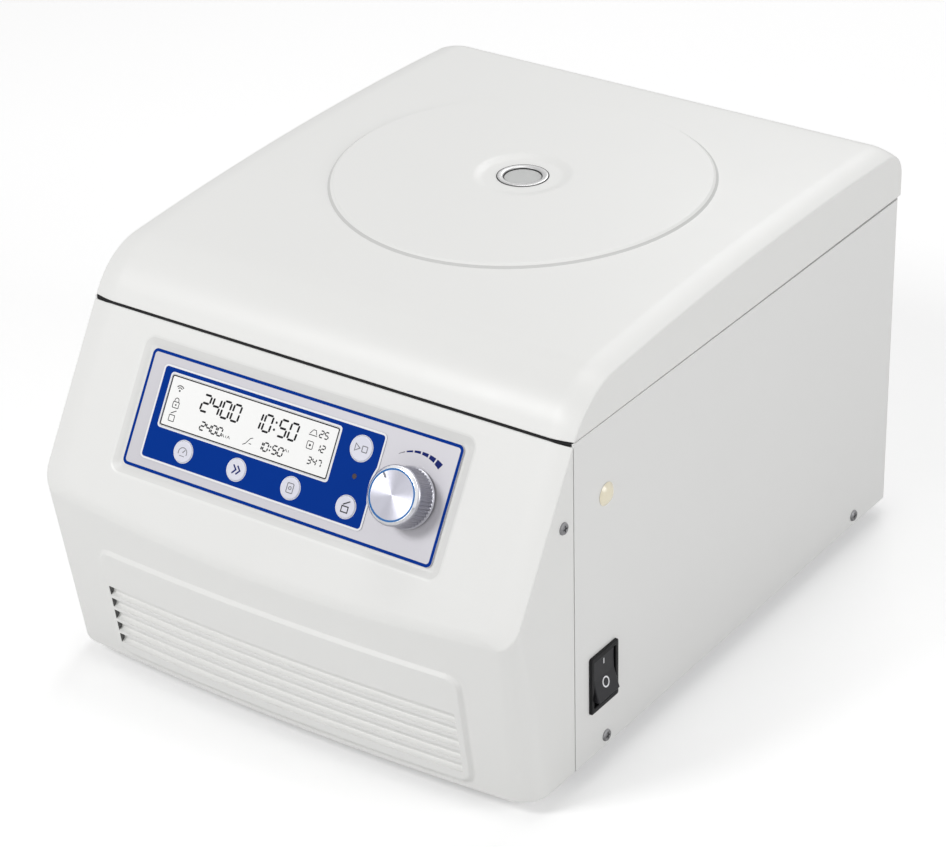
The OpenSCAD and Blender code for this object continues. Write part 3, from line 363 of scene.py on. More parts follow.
# Painted shade: near-black on the left end wall of each louvre groove, which is a closed wall and not an
# opening
LOUVRE_END_PAINTED_SHADE = material("louvre end painted shade", (0.1, 0.1, 0.1), 0.6, grain=(0.1, 0.9), spread=0.05)
SHEET = material("white enamel", (0.83, 0.83, 0.82), 0.4, grain=(0.12, 1.3), spread=0.006, coat=0.15)
DECK = material("deck moulding", (0.72, 0.72, 0.7), 0.45, grain=(0.15, 0.9), spread=0.01)
PAN = material("pan steel", (0.42, 0.44, 0.46), 0.42, metal=0.9, build=brushed)
RUBBER = material("black rubber", (0.014, 0.014, 0.015), 0.65, grain=(0.4, 0.5), spread=0.1, specular=0.2)
STAINLESS = material("stainless steel", (0.62, 0.62, 0.61), 0.28, metal=1, build=brushed)
ZINC = material("zinc steel", (0.55, 0.56, 0.58), 0.36, metal=1, grain=(0.1, 0.8), spread=0.05)
DARK = material("dark steel", (0.09, 0.09, 0.1), 0.4, metal=0.7, grain=(0.15, 0.6))
SHAFT = material("ground steel", (0.66, 0.66, 0.67), 0.18, metal=1, build=brushed)
ALLOY = material("anodised alloy", (0.55, 0.56, 0.58), 0.34, metal=0.95, grain=(0.1, 0.4))
NUT = material("nut plastic", (0.05, 0.05, 0.055), 0.4, grain=(0.2, 0.7))
CLIP = material("clip steel", (0.6, 0.6, 0.6), 0.25, metal=1, build=brushed)
SLIDE = material("slide glass", (0.93, 0.97, 0.96), 0.03, wear=0.01, Transmission_Weight=1.0, IOR=1.46)
CHAMBER = material("chamber plastic", (0.83, 0.83, 0.8), 0.38, grain=(0.08, 0.6))
RING = material("window ring steel", (0.5, 0.5, 0.5), 0.28, metal=1, grain=(0.05, 0.3))
GLASS = material("window glass", (0.74, 0.75, 0.74), 0.06, wear=0.02, coat=1.0,
                 Transmission_Weight=0.45, IOR=1.5)
SILVER = material("silver panel", (0.56, 0.55, 0.585), 0.42, metal=0.2, grain=(0.05, 0.3), spread=0.01)
BLUE = material("blue print", (0.001, 0.036, 0.285), 0.42, grain=(0.04, 0.3), spread=0.03, specular=0.03)
LINE_WHITE = material("white print", (0.84, 0.84, 0.86), 0.4, spread=0.01)
INK = material("dark ink", (0.008, 0.008, 0.01), 0.5, spread=0.1, specular=0.1)
INK_GREY = material("grey ink", (0.16, 0.16, 0.18), 0.5, spread=0.05)
NAVY = material("navy ink", (0.004, 0.014, 0.14), 0.45, spread=0.05, specular=0.1)
SCREEN = material("screen white", (0.86, 0.86, 0.85), 0.14, wear=0.02, spread=0.008, coat=0.6,
                  Emission_Color=(1, 1, 1, 1), Emission_Strength=0.12)
LCD = material("display module", (0.05, 0.06, 0.06), 0.4)
BOARD = material("circuit board", (0.02, 0.16, 0.07), 0.35, grain=(0.1, 1.5), coat=0.3)
KEY = material("key cap", (0.74, 0.74, 0.83), 0.36, grain=(0.06, 0.3), spread=0.01)
LED = material("status light", (0.03, 0.006, 0.012), 0.15, wear=0.03, coat=0.5)
KNOB = material("turned aluminium", (0.42, 0.42, 0.46), 0.32, metal=1, grain=(0.05, 0.2))
KNOB_FACE = material("spun aluminium", (0.47, 0.47, 0.53), 0.34, metal=1, build=spun)
KNOB_EDGE = material("polished aluminium", (0.8, 0.8, 0.82), 0.14, wear=0.03, metal=1)
KNOB_BLUE = material("blue anodising", (0.02, 0.13, 0.36), 0.25, metal=0.5)
SWITCH = material("switch nylon", (0.006, 0.006, 0.007), 0.35, grain=(0.15, 0.5), spread=0.1, specular=0.2)
PADDLE = material("paddle nylon", (0.022, 0.022, 0.025), 0.38, grain=(0.12, 0.5), spread=0.06, specular=0.3)
CREAM = material("cream plastic", (0.92, 0.85, 0.66), 0.24, grain=(0.04, 0.8), spread=0.015, coat=0.3)
COPPER = material("copper coil", (0.45, 0.16, 0.06), 0.35, metal=1, build=brushed)
SCREW = material("plated screw", (0.3, 0.3, 0.31), 0.34, metal=0.8, grain=(0.1, 0.3))

# Lid: a side skin and a higher, farther forward top skin, joined by a soft band
FOLD_R = 40.5
CROWN_R = 2100.0
CROWN_C = (Y_SEAM + 207.0, Z_SEAM + 29.69 - CROWN_R)
EDGE_DROP = 3.4
REAR_R = 14.0
EDGE_IN = 13.5
EDGE_PULL = 8.5
DISC_R = 98.1
DISC_EDGE = 2.7
DISC_H = 1.8
DISH_R = 25.5
DISH_FLOOR_R = 19.5
DISH_H = 1.2
RING_R = 13.1
PATCH = 110.0
PATCH_N = 12
FOLD_N = 16
LEAD_N = 4
TAIL_N = 3
REAR_N = 8
SIDE_N = 7
INNER_RADII = [RING_R, 14.2, 16.0, 18.0] + list(range(19, 27)) + [28.0, 35.0, 50.0, 65.0, 80.0, 90.0]
EDGE_STATIONS = (-1.5, -0.4, 0.0, 0.25, 0.6, 1.35, 2.1, 2.45, 2.7, 3.1, 4.6)
# Rings at the foot of the raised disc that get painted shade
DISC_PAINTED_SHADE_RINGS = range(23, 26)


def crown_z(y, big):
    return CROWN_C[1] + sqrt(big * big - (y - CROWN_C[0]) ** 2)


def crown_angle(p):
    return atan2(p[1] - CROWN_C[1], p[0] - CROWN_C[0])


def fold_centre(foot, big, small):
    y, z = foot[0] - small * OUT[0] - CROWN_C[0], foot[1] - small * OUT[1] - CROWN_C[1]
    b = y * UP[0] + z * UP[1]
    t = -b + sqrt(b * b - y * y - z * z + (big - small) ** 2)
    return (CROWN_C[0] + y + t * UP[0], CROWN_C[1] + z + t * UP[1])


def patch_y(k):
    return Y_CHAMBER + PATCH * k / PATCH_N


def lid_profile(w, g):
    """Lid outline (y, z) from front rim to rear rim; w is 0 on the side skin and 1 on the top skin."""
    foot = (Y_SEAM - w * FACE_STEP - g * OUT[0], Z_SEAM - g * OUT[1])
    big, small, rear = CROWN_R + w * EDGE_DROP - g, FOLD_R - g, REAR_R - g
    c = fold_centre(foot, big, small)
    rise = (Z_LID - LID_RIM_DROP - foot[1]) / UP[1]
    points = [(foot[0] + rise * UP[0], Z_LID - LID_RIM_DROP)]
    points += arc(*c, small, FOLD_N + 1, pi / 2 + SLOPE, crown_angle(c))
    y_first, y_last = points[-1][0], Y_REAR - g - rear
    steps = [y_first + (patch_y(-PATCH_N) - y_first) * i / LEAD_N for i in range(1, LEAD_N)]
    steps += [patch_y(k) for k in range(-PATCH_N, PATCH_N + 1)]
    steps += [patch_y(PATCH_N) + (y_last - patch_y(PATCH_N)) * i / TAIL_N for i in range(1, TAIL_N)]
    points += [(y, crown_z(y, big)) for y in steps]
    e = (y_last, crown_z(y_last, big - rear))
    return points + arc(*e, rear, REAR_N + 1, crown_angle(e), 0.0) + [(Y_REAR - g, Z_LID)]


def lid_columns(g):
    """Stations across the lid: x and the weight of the top skin."""
    columns = [(PATCH * k / PATCH_N, 1.0) for k in range(PATCH_N + 1)]
    columns += [(118.0, 1.0), (HALF_W - EDGE_IN, 1.0)]
    for t in (i / SIDE_N for i in range(1, SIDE_N + 1)):
        x = HALF_W - (1 - t) ** 2 * EDGE_IN - 2 * t * (1 - t) * EDGE_PULL - g * t
        columns.append((x, 1 - t * t))
    return [(-x, w) for x, w in columns[:0:-1]] + columns


def patch_rings(g):
    """Rings from the window's hole over dish and raised disc out to the square cut from the lid's grid."""
    big = CROWN_R + EDGE_DROP
    z_dish = crown_z(Y_CHAMBER, big) + DISC_H - DISH_H
    count = 8 * PATCH_N
    rings = []
    for r in INNER_RADII + [DISC_R - DISC_EDGE + d for d in EDGE_STATIONS]:
        ring = []
        for x, y in circle(0, Y_CHAMBER, r, count):
            z = crown_z(y, big - g)
            if not g:
                z += DISC_H * ramp((DISC_R - r) / DISC_EDGE)
                z += (z_dish - z) * smooth((DISH_R - r) / (DISH_R - DISH_FLOOR_R))
            ring.append((x, y, z))
        rings.append(ring)
    square = []
    for m in range(count):
        side, k = divmod(m + PATCH_N, 2 * PATCH_N)
        k -= PATCH_N
        kx, ky = ((PATCH_N, k), (-k, PATCH_N), (-PATCH_N, -k), (k, -PATCH_N))[side % 4]
        y = patch_y(ky)
        square.append((PATCH * kx / PATCH_N, y, crown_z(y, big - g)))
    last = rings[-1]
    for f in (0.3, 0.65):
        between = [mix(a, b, f) for a, b in zip(last, square)]
        rings.append([(x, y, crown_z(y, big - g)) for x, y, _ in between])
    return rings + [square]


def lid_shape():
    shape = Shape()
    skins = []
    for g in (0.0, WALL):
        columns = lid_columns(g)
        profiles = [lid_profile(w, g) for _, w in columns]
        rows = [[(x, *p) for (x, _), p in zip(columns, station)] for station in zip(*profiles)]
        mid = len(columns) // 2
        first = FOLD_N + 1 + LEAD_N
        for s, (a, b) in enumerate(zip(rows, rows[1:])):
            for k in range(len(a) - 1):
                if not (first <= s < first + 2 * PATCH_N and mid - PATCH_N <= k < mid + PATCH_N):
                    shape.face((a[k], a[k + 1], b[k + 1], b[k]))
        rings = patch_rings(g)
        # On the outer skin, the rings at the raised disc's foot get painted shade
        for k, pair in enumerate(zip(rings, rings[1:])):
            shape.grid(pair, closed=True, mat=int(not g and k in DISC_PAINTED_SHADE_RINGS))
        for side in (0, -1):
            shape.face([row[side] for row in rows])
        skins.append((rows, rings))
    (outer, outer_rings), (inner, inner_rings) = skins
    shape.grid([outer_rings[0], inner_rings[0]], closed=True)
    for end in (0, -1):
        shape.grid([outer[end], inner[end]])
        shape.soften(outer[end])
    for side in (0, -1):
        shape.face((outer[0][side], outer[-1][side], inner[-1][side], inner[0][side]))
        shape.soften([row[side] for row in outer])
        shape.soften([outer[0][side], outer[-1][side]])
    return shape


make("lid_shell", lid_shape(), [SHELL, DISC_FOOT_PAINTED_SHADE], "lid", "white_shell", ["lid_cover"], bevel=0.7)

# Front housing: sloped face with a soft edge band, bowed ridge, leaning lower wall with louvres
RIDGE_V = 103.5
RIDGE_BOW = 8.5
RIDGE_HALF = HALF_W - 8.5
TOE_D = 41.8
TOE_BOW = 5.0
TOE_HALF = HALF_W - 15.0
CORNER_TOE_R = 15.0
CORNER_RIDGE_R = 10.0
CORNER_H = 95.0
SIDE_DROP = FACE_STEP * sin(SLOPE)
RIDGE_DROP = 1.3
RIDGE_IN = 5.0
SEAM_BACK = 0.2
BAND_ROWS = 7
BAND_X = 118.0
BAND_V = 82.0
BEND_X = 100.0
PULL_SIDE = 0.37
PULL_RIDGE = 0.6
SIDE_STEPS = 14
CORNER_STEPS = 12
FLOOR_T = 3.0
NOSE_HALF = HALF_W - 20.0 + 0.1
NOSE_Y = Y_SEAM - 22.1
STRAIGHT_X = 112.0

# Recess of the control panel: centre on the face, size, and its edge as (inset, depth) steps
PANEL_U = -4.6
PANEL_V = 42.6
RECESS_W = 196.0
RECESS_V = 70.0
RECESS_R = 6.5
RECESS_STEPS = [(0, 0), (0.4, -0.06), (1.2, -0.3), (3.9, -1.4), (4.7, -1.64), (5.4, -1.7), (13.1, -1.7)]

# Raised louvre panel: left, right, bottom and top, above the case's underside
VENT = (-107.5, 109.7, 3.5, 69.5)
VENT_R = 8.0
VENT_RISE = 1.8
VENT_EDGE = 2.2
LOUVRE_X = (-103.5, 104.5)
LOUVRE_LIP = [16.6 + 7.55 * i for i in range(5)]
LOUVRE_D = 3.2
LOUVRE_DEPTHS = [(0, 0), (0.03, 1), (0.4, 1), (1.0, 0.98), (2.6, 0.93), (4.3, 0.8), (5.1, 0.5), (5.7, 0)]
# Height of the strip of painted shade under each louvre's lip
LOUVRE_PAINTED_SHADE_H = 1.05
VENT_STEP = 0.44


def bow(sag, half, x):
    r = (half * half + sag * sag) / (2 * sag)
    return r - sqrt(r * r - x * x)


def ridge_v(u):
    return RIDGE_V - bow(RIDGE_BOW, RIDGE_HALF, u)


def wall_y(x, z):
    """Lower front wall: straight from the bowed ridge down to the bowed toe."""
    _, y1, z1 = face_point(x, ridge_v(x))
    y0 = Y_SEAM - TOE_D + bow(TOE_BOW, TOE_HALF, x)
    return y0 + (y1 - y0) * (z - Z_CASE) / (z1 - Z_CASE)


def corner_r(z):
    return CORNER_TOE_R + (CORNER_RIDGE_R - CORNER_TOE_R) * (z - Z_CASE) / CORNER_H


def skirt_point(side, x, turn, z, g):
    """Point of the lower wall, or of its round corner where turn goes from 0 to 1."""
    if turn is None:
        return (x, wall_y(x, z) + g, z)
    r = corner_r(z)
    xc = HALF_W - r
    a = turn * pi / 2
    return (side * (xc + (r - g) * sin(a)), wall_y(xc, z) + r - (r - g) * cos(a), z)


def edge_z(side, x, turn, drop, g):
    """Height at which the wall or corner meets the plane that lies drop under the control face."""
    z0, z1 = Z_CASE + 40.0, Z_SEAM
    for _ in range(50):
        z = (z0 + z1) / 2
        p = skirt_point(side, x, turn, z, g)
        if face_height(*p[1:]) + drop + g > 0:
            z1 = z
        else:
            z0 = z
    return (z0 + z1) / 2


def spaced(a, b, step):
    n = max(1, round(abs(b - a) / step))
    return [a + (b - a) * k / n for k in range(n)]


def wall_columns():
    """Columns of the wall as (x, reaches into the louvres)."""
    left, right = VENT[:2]
    slot, end = LOUVRE_X
    spans = (
        (-STRAIGHT_X, 2 - STRAIGHT_X, 2, 0), (2 - STRAIGHT_X, left, 9, 0),
        (left, left + VENT_EDGE, VENT_STEP, 0), (left + VENT_EDGE, -103.6, 0.8, 0),
        (slot, slot, 1, 0), (slot + 0.02, slot, 1, 1),
        (-102.6, left + VENT_R, 0.9, 1), (left + VENT_R, -88.0, 4.0, 1), (-88.0, 88.0, 8.0, 1),
        (88.0, right - VENT_R, 4.0, 1), (right - VENT_R, 103.8, 0.8, 1), (end - 0.02, end, 1, 1),
        (end, end, 1, 0), (105.2, right - VENT_EDGE, 0.8, 0), (right - VENT_EDGE, right, VENT_STEP, 0),
        (right, STRAIGHT_X, 9, 0), (STRAIGHT_X - 1, STRAIGHT_X, 9, 0), (STRAIGHT_X, STRAIGHT_X, 1, 0))
    return [(x, louvred) for a, b, step, louvred in spans for x in spaced(a, b, step)]


def wall_levels():
    """Levels of the wall from the top down, as (height, depth of the louvre there)."""
    foot, top = VENT[2:]
    flat = [74.0, 71.5] + spaced(top, top - VENT_EDGE, VENT_STEP) + spaced(top - VENT_EDGE, top - VENT_R, 0.8)
    levels = [(z, 0.0) for z in flat + spaced(top - VENT_R, 49.5, 4.0)]
    for lip in LOUVRE_LIP[::-1]:
        levels += [(lip + 0.9, 0.0)] + [(lip - down, LOUVRE_D * f) for down, f in LOUVRE_DEPTHS]
    flat = spaced(levels[-1][0] - 0.7, foot + VENT_EDGE, 0.8) + spaced(foot + VENT_EDGE, foot, VENT_STEP)
    return levels + [(z, 0.0) for z in flat + [foot, 1.5, 0.0]]


def vent_rise(x, z):
    """How far the wall stands out inside the raised panel's rounded outline."""
    left, right, bottom, top = VENT
    dx = abs(x - (left + right) / 2) - (right - left) / 2 + VENT_R
    dz = abs(z - (bottom + top) / 2) - (top - bottom) / 2 + VENT_R
    outside = sqrt(max(dx, 0) ** 2 + max(dz, 0) ** 2) + min(max(dx, dz), 0) - VENT_R
    return VENT_RISE * ramp(-outside / VENT_EDGE)


def skirt_rows(g):
    """Rows of the lower front, from the ridge's crisp edge down to the foot."""
    z_end = edge_z(1, 0, 0.0, SIDE_DROP, g)
    x_end = HALF_W - corner_r(z_end)
    columns = wall_columns()
    outer = (0.25, 0.5, 0.75)
    turns = [k / CORNER_STEPS for k in range(CORNER_STEPS + 1)]

    def row(z_of, level=None, depth=0.0):
        right_x = HALF_W - corner_r(z_of(1, x_end, 0.0))
        out = [skirt_point(-1, 0, t, z_of(-1, x_end, t), g) for t in turns[::-1]]
        plain = [(-STRAIGHT_X - (right_x - STRAIGHT_X) * f, 0) for f in outer[::-1]]
        plain += columns + [(STRAIGHT_X + (right_x - STRAIGHT_X) * f, 0) for f in outer]
        for x, louvred in plain:
            z = z_of(1, x, None)
            x0, y, _ = skirt_point(1, x, None, z, g)
            if level is not None and not g:
                y = y - vent_rise(x, level) + depth * louvred
            out.append((x0, y, z))
        return out + [skirt_point(1, 0, t, z_of(1, x_end, t), g) for t in turns]

    def edge(side, x, turn):
        blend = abs(x) / x_end if turn is None else 1.0
        drop = RIDGE_DROP + (SIDE_DROP - RIDGE_DROP) * smooth((blend - 0.75) / 0.25)
        return edge_z(side, x, turn, drop, g)

    levels = wall_levels()
    top = Z_CASE + levels[0][0]
    rows = [row(edge)]
    for f in (0.06, 0.2, 0.4, 0.6, 0.8):
        rows.append(row(lambda side, x, turn: edge(side, x, turn) * (1 - f) + top * f))
    for level, depth in levels:
        z = Z_CASE + level
        if g:
            z = max(z, Z_CASE + FLOOR_T)
            if rows[-1][0][2] == z or depth:
                continue
        rows.append(row(lambda side, x, turn: z, level, depth))
    return rows


def band_rows(skirt_top, g):
    """Soft band between the face and its crisp edge, from the left seam round the ridge to the right seam."""
    lift = g / tan(SLOPE)
    corner = skirt_top[-1]
    v_top = (SEAM_BACK + g * sin(SLOPE)) / UP[0]
    v_end = (Y_SEAM - corner[1] + g * sin(SLOPE)) / UP[0]
    side = []
    for k in range(SIDE_STEPS):
        v = v_top + (v_end - v_top) * k / SIDE_STEPS
        side.append((HALF_W - g, Y_SEAM - v * UP[0] - g * OUT[0], Z_SEAM - v * UP[1] - g * OUT[1]))
    crisp = [(-x, y, z) for x, y, z in side] + skirt_top + side[::-1]

    # Inner edge of the band as (u, v), and how far its curve is pulled towards the crisp edge
    v_low = ridge_v(BAND_X) - RIDGE_IN
    x_end = abs(skirt_top[CORNER_STEPS][0])
    inner_u = HALF_W - EDGE_IN
    soft = [(-inner_u, -lift + (BAND_V + lift) * k / SIDE_STEPS) for k in range(SIDE_STEPS)]
    pull = [PULL_SIDE] * SIDE_STEPS
    for k in range(CORNER_STEPS + 1):
        a = (1 - k / CORNER_STEPS) * pi / 2
        soft.append((-(BAND_X + (inner_u - BAND_X) * sin(a)), BAND_V + (v_low - BAND_V) * cos(a)))
        pull.append(PULL_SIDE + (PULL_RIDGE - PULL_SIDE) * k / CORNER_STEPS)
    for u, _, _ in skirt_top[CORNER_STEPS + 1:-(CORNER_STEPS + 1)]:
        if abs(u) > BEND_X:
            bent = BEND_X + (abs(u) - BEND_X) * (BAND_X - BEND_X) / (x_end - BEND_X)
            u = bent if u > 0 else -bent
        soft.append((u, ridge_v(u) - RIDGE_IN))
        pull.append(PULL_RIDGE)
    mirrored = len(crisp) - len(soft)
    soft += [(-u, v) for u, v in soft[:mirrored][::-1]]
    pull += pull[:mirrored][::-1]

    rows = []
    for i in range(BAND_ROWS + 1):
        t = 1 - i / BAND_ROWS
        row = []
        for edge, (u, v), f in zip(crisp, soft, pull):
            start = face_point(u, v, -g)
            flat = face_point(edge[0], face_v(*edge[1:]), -g)
            control = mix(start, flat, f)
            curve = mix(mix(start, control, t), mix(control, edge, t), t)
            row.append(edge if t == 1 else start if t == 0 else curve)
        rows.append(row)
    return rows


def recess_ring(inset, h):
    w, v = RECESS_W - 2 * inset, RECESS_V - 2 * inset
    outline = round_rect(PANEL_U, 0, w, v, max(RECESS_R - inset, 1.0), 10)
    return [face_point(x, PANEL_V - y, h) for x, y in outline]


def louvred_grid(shape, rows):
    """Faces of the lower front, with painted shade on a strip under each lip and near-black painted shade on
    each groove's left end wall.
    """
    x0, x1 = LOUVRE_X
    for a, b in zip(rows, rows[1:]):
        top, foot = a[len(a) // 2][2] - Z_CASE, b[len(b) // 2][2] - Z_CASE
        in_groove = any(lip - LOUVRE_DEPTHS[-1][0] - 0.01 < foot and top < lip + 0.01 for lip in LOUVRE_LIP)
        in_painted_shade = any(lip - LOUVRE_PAINTED_SHADE_H < foot and top < lip for lip in LOUVRE_LIP)
        for k in range(len(a) - 1):
            mat = 0
            # The left end walls of the grooves get near-black painted shade
            if in_groove and abs(a[k][0] - x0) < 0.001:
                mat = 2
            elif in_painted_shade and x0 < a[k][0] and a[k + 1][0] < x1:
                mat = 1
            shape.face((a[k], a[k + 1], b[k + 1], b[k]), mat)


def front_shape():
    shape = Shape()
    parts = []
    for g in (0.0, WALL):
        skirt = skirt_rows(g)
        band = band_rows(skirt[0], g)
        if g:
            shape.grid(skirt)
        else:
            louvred_grid(shape, skirt)
        shape.grid(band)
        parts.append((skirt, band))
    (skirt, band), (inner_skirt, inner_band) = parts
    shape.holed(band[-1], recess_ring(0, 0))
    rings = [recess_ring(inset, h) for inset, h in RECESS_STEPS]
    back = recess_ring(RECESS_STEPS[-1][0], -WALL)
    shape.grid(rings[:3], closed=True)
    # Below its soft edge, the recess's wall and floor get painted shade
    shape.grid(rings[2:] + [back], closed=True, mat=3)
    shape.holed(inner_band[-1], back)

    # Top edge under the lid
    for end in (0, -1):
        shape.grid([[r[end] for r in rows] for rows in (band, inner_band)])
        shape.soften([r[end] for r in band])
    shape.face((band[-1][0], band[-1][-1], inner_band[-1][-1], inner_band[-1][0]))

    # Sides, rear edges and floor
    floor, roof = Z_CASE, Z_CASE + FLOOR_T
    y_back = Y_SEAM - SEAM_BACK
    notch = [(1, y_back), (1, NOSE_Y), (-1, NOSE_Y), (-1, y_back)]
    inner_w = HALF_W - WALL
    for path, rows, w, z in ((band[0], skirt, HALF_W, floor), (inner_band[0], inner_skirt, inner_w, roof)):
        outline = path[:SIDE_STEPS + 1] + [r[0] for r in rows[1:]] + [(-w, y_back, z)]
        shape.face(outline)
        shape.face([(-x, y, zz) for x, y, zz in outline])
        nose = [(s * NOSE_HALF, y, z) for s, y in notch]
        shape.face(rows[-1] + [(w, y_back, z)] + nose + [(-w, y_back, z)])
    shape.grid([[(s * NOSE_HALF, y, z) for s, y in notch] for z in (floor, roof)])
    for s, end in ((-1, 0), (1, -1)):
        heel = (s * HALF_W, y_back, floor)
        shape.face((heel, band[0][end], inner_band[0][end], (s * inner_w, y_back, roof),
                    (s * NOSE_HALF, y_back, roof), (s * NOSE_HALF, y_back, floor)))
        shape.soften([heel, band[0][end]])
        shape.soften([skirt[-1][end], heel])
    shape.soften(band[0][:SIDE_STEPS + CORNER_STEPS])
    shape.soften(band[0][-SIDE_STEPS - CORNER_STEPS:])
    shape.soften(skirt[-1])
    shape.soften([band[-1][0], band[-1][-1]])
    return shape


make("front_shell", front_shape(), [SHELL, LOUVRE_PAINTED_SHADE, LOUVRE_END_PAINTED_SHADE, RECESS_PAINTED_SHADE], "base", "white_shell",
     ["front_housing"], bevel=0.6)

# Dark lip just inside the housing's top edge, which closes the gap under the lid's front rim
GAP_SEAL_IN = 1.1
GAP_SEAL_T = 1.2
GAP_SEAL_H = (Z_SEAM - 0.6, Z_SEAM + 0.9)
GAP_SEAL_X = 1 - 0.7 / HALF_W
top_band = band_rows(skirt_rows(0.0)[0], 0.0)
top_edge = [r[0] for r in top_band] + [r[-1] for r in top_band[::-1]]
gap_seal = Shape()
gap_seal.line([(x * GAP_SEAL_X, y + GAP_SEAL_IN) for x, y, _ in top_edge], GAP_SEAL_T, *GAP_SEAL_H)
make("gap_seal", gap_seal, [RUBBER], "base", "black_rubber", weighted=False)


# Control panel pieces, in a frame with x to the right, y up the face and z out of it
def placed(axes, at):
    out = axes.copy()
    out.translation = [c * MM for c in at]
    return out


def on_panel(x, y):
    return placed(FACE_AXES, face_point(PANEL_U + x, PANEL_V - y))


FACE_AXES = Matrix(((1, 0, 0), (0, UP[0], UP[1]), (0, OUT[0], OUT[1]))).transposed().to_4x4()
SIDE_AXES = Matrix(((0, 1, 0), (0, 0, 1), (1, 0, 0))).transposed().to_4x4()
PANEL = on_panel(0, 0)
PLATE_W = 182.8
PLATE_V = 58.4
PLATE_TOP = -0.7
PRINT_TOP = PLATE_TOP + 0.3
FIELD = (-PLATE_W / 2 + 9.6, PLATE_W / 2 - 41.6, 23.0)
FIELD_R = 2.0
KNOB_AT = (70.1, -1.4)
KNOB_R = 14.2
NOTCH_R = 22.0
KEY_R = 5.3
START_R = 6.0
KEYS = [(-58.0, -14.6), (-25.7, -14.6), (6.6, -14.6), (38.9, -14.6)]
START_AT = (38.4, 13.5)
KEY_RINGS = [(at, KEY_R) for at in KEYS] + [(START_AT, START_R)]
KEY_GAP = 0.1
LED_AT = (38.8, 0.2)
LED_R = 1.3
SCREEN_AT = (-25.9, 6.9)
SCREEN_W = 100.6
SCREEN_V = 25.5


def screen_rect(grow, r):
    return round_rect(*SCREEN_AT, SCREEN_W + grow, SCREEN_V + grow, r, 4)


def field_outline(inset):
    """Outline of the blue field, with the round bite that clears the knob."""
    left, right, half = FIELD[0] + inset, FIELD[1] - inset, FIELD[2] - inset
    r, bite = max(FIELD_R - inset, 0.6), NOTCH_R + inset
    a = atan2(sqrt(bite ** 2 - (KNOB_AT[0] - right) ** 2), right - KNOB_AT[0])
    points = arc(right - r, half - r, r, 7, pi / 2, 0) + arc(*KNOB_AT, bite, 17, a, 2 * pi - a)
    points += arc(right - r, -half + r, r, 7, 0, -pi / 2) + arc(left + r, -half + r, r, 7, -pi / 2, -pi)
    return points + arc(left + r, half - r, r, 7, pi, pi / 2)


def field_shape():
    shape = Shape()
    loops = [field_outline(0), screen_rect(0.2, 1.1)]
    loops += [circle(*at, r + KEY_GAP, 40) for at, r in KEY_RINGS] + [circle(*LED_AT, LED_R, 20)]
    flat = [p for loop in loops for p in loop]
    triangles = tessellate_polygon([[Vector((*p, 0)) for p in loop] for loop in loops])
    for h in (PLATE_TOP, PRINT_TOP):
        for tri in triangles:
            shape.face([(*flat[i], h) for i in tri])
    for loop in loops:
        shape.grid([[(*p, h) for p in loop] for h in (PLATE_TOP, PRINT_TOP)], closed=True)
    return shape


ON_PANEL = {"place": PANEL, "weighted": False}


def printed(name, mat, slot, draw, h, body="base", thick=0.06, place=PANEL):
    """A print: flat strokes and areas that stand a hair above the surface at height h."""
    shape = Shape()
    draw(shape, h - 0.03, h + thick - 0.03)
    make(name, shape, [mat], body, slot, place=place, weighted=False)


def border_lines(shape, h0, h1):
    outer, inner = (round_rect(0, 0, PLATE_W - d, PLATE_V - d, r) for d, r in ((0.1, 2.9), (3.1, 1.6)))
    shape.band(outer, inner, h0, h1)


def white_lines(shape, h0, h1):
    shape.band(field_outline(-0.5), field_outline(0.45), h0, h1)
    shape.band(screen_rect(2.0, 1.8), screen_rect(0.2, 1.1), h0, h1)
    for at, r in KEY_RINGS:
        shape.band(circle(*at, r + 0.4), circle(*at, r + KEY_GAP), h0, h1)


# Speed ticks: an arc of dashes that widen clockwise; widths at both ends, angles in degrees
TICK_WIDTHS = ((0.25, 0.5), (0.7, 0.95), (1.0, 1.3), (1.4, 1.8), (1.9, 2.4), (2.7, 3.3))
TICK_R = 21.5
TICK_START = 123.0
TICK_PITCH = 11.4
TICK_ARC = 9.2
TICK_N = 5


def speed_ticks(first, stop):
    def draw(shape, h0, h1):
        for k in range(first, stop):
            w0, w1 = TICK_WIDTHS[k]
            loop = []
            for side, steps in ((1, range(TICK_N + 1)), (-1, range(TICK_N, -1, -1))):
                for t in (i / TICK_N for i in steps):
                    a = radians(TICK_START - TICK_PITCH * k - TICK_ARC * t)
                    r = TICK_R + side * (w0 + (w1 - w0) * t) / 2
                    loop.append((KNOB_AT[0] + r * cos(a), KNOB_AT[1] + r * sin(a)))
            shape.prism(loop, h0, h1)
    return draw


make("panel_print", field_shape(), [BLUE], "base", "panel_blue", ["panel_overlay"], **ON_PANEL)
printed("panel_border", BLUE, "panel_blue", border_lines, PLATE_TOP)
printed("panel_outlines", LINE_WHITE, "panel_silver", white_lines, PRINT_TOP)
printed("speed_ticks_low", INK_GREY, "panel_blue", speed_ticks(0, 1), PLATE_TOP)
printed("speed_ticks_high", NAVY, "panel_blue", speed_ticks(1, 6), PLATE_TOP)

# Display: a glossy white window with its characters in black
screen = Shape()
screen.tube([[(*p, h) for p in screen_rect(-2 * inset, 1.0)]
             for inset, h in ((0.0, PLATE_TOP - 1.0), (0.0, PRINT_TOP - 0.12), (0.12, PRINT_TOP))])
make("screen_window", screen, [SCREEN], "base", "screen_clear", ["display_window"], **ON_PANEL)

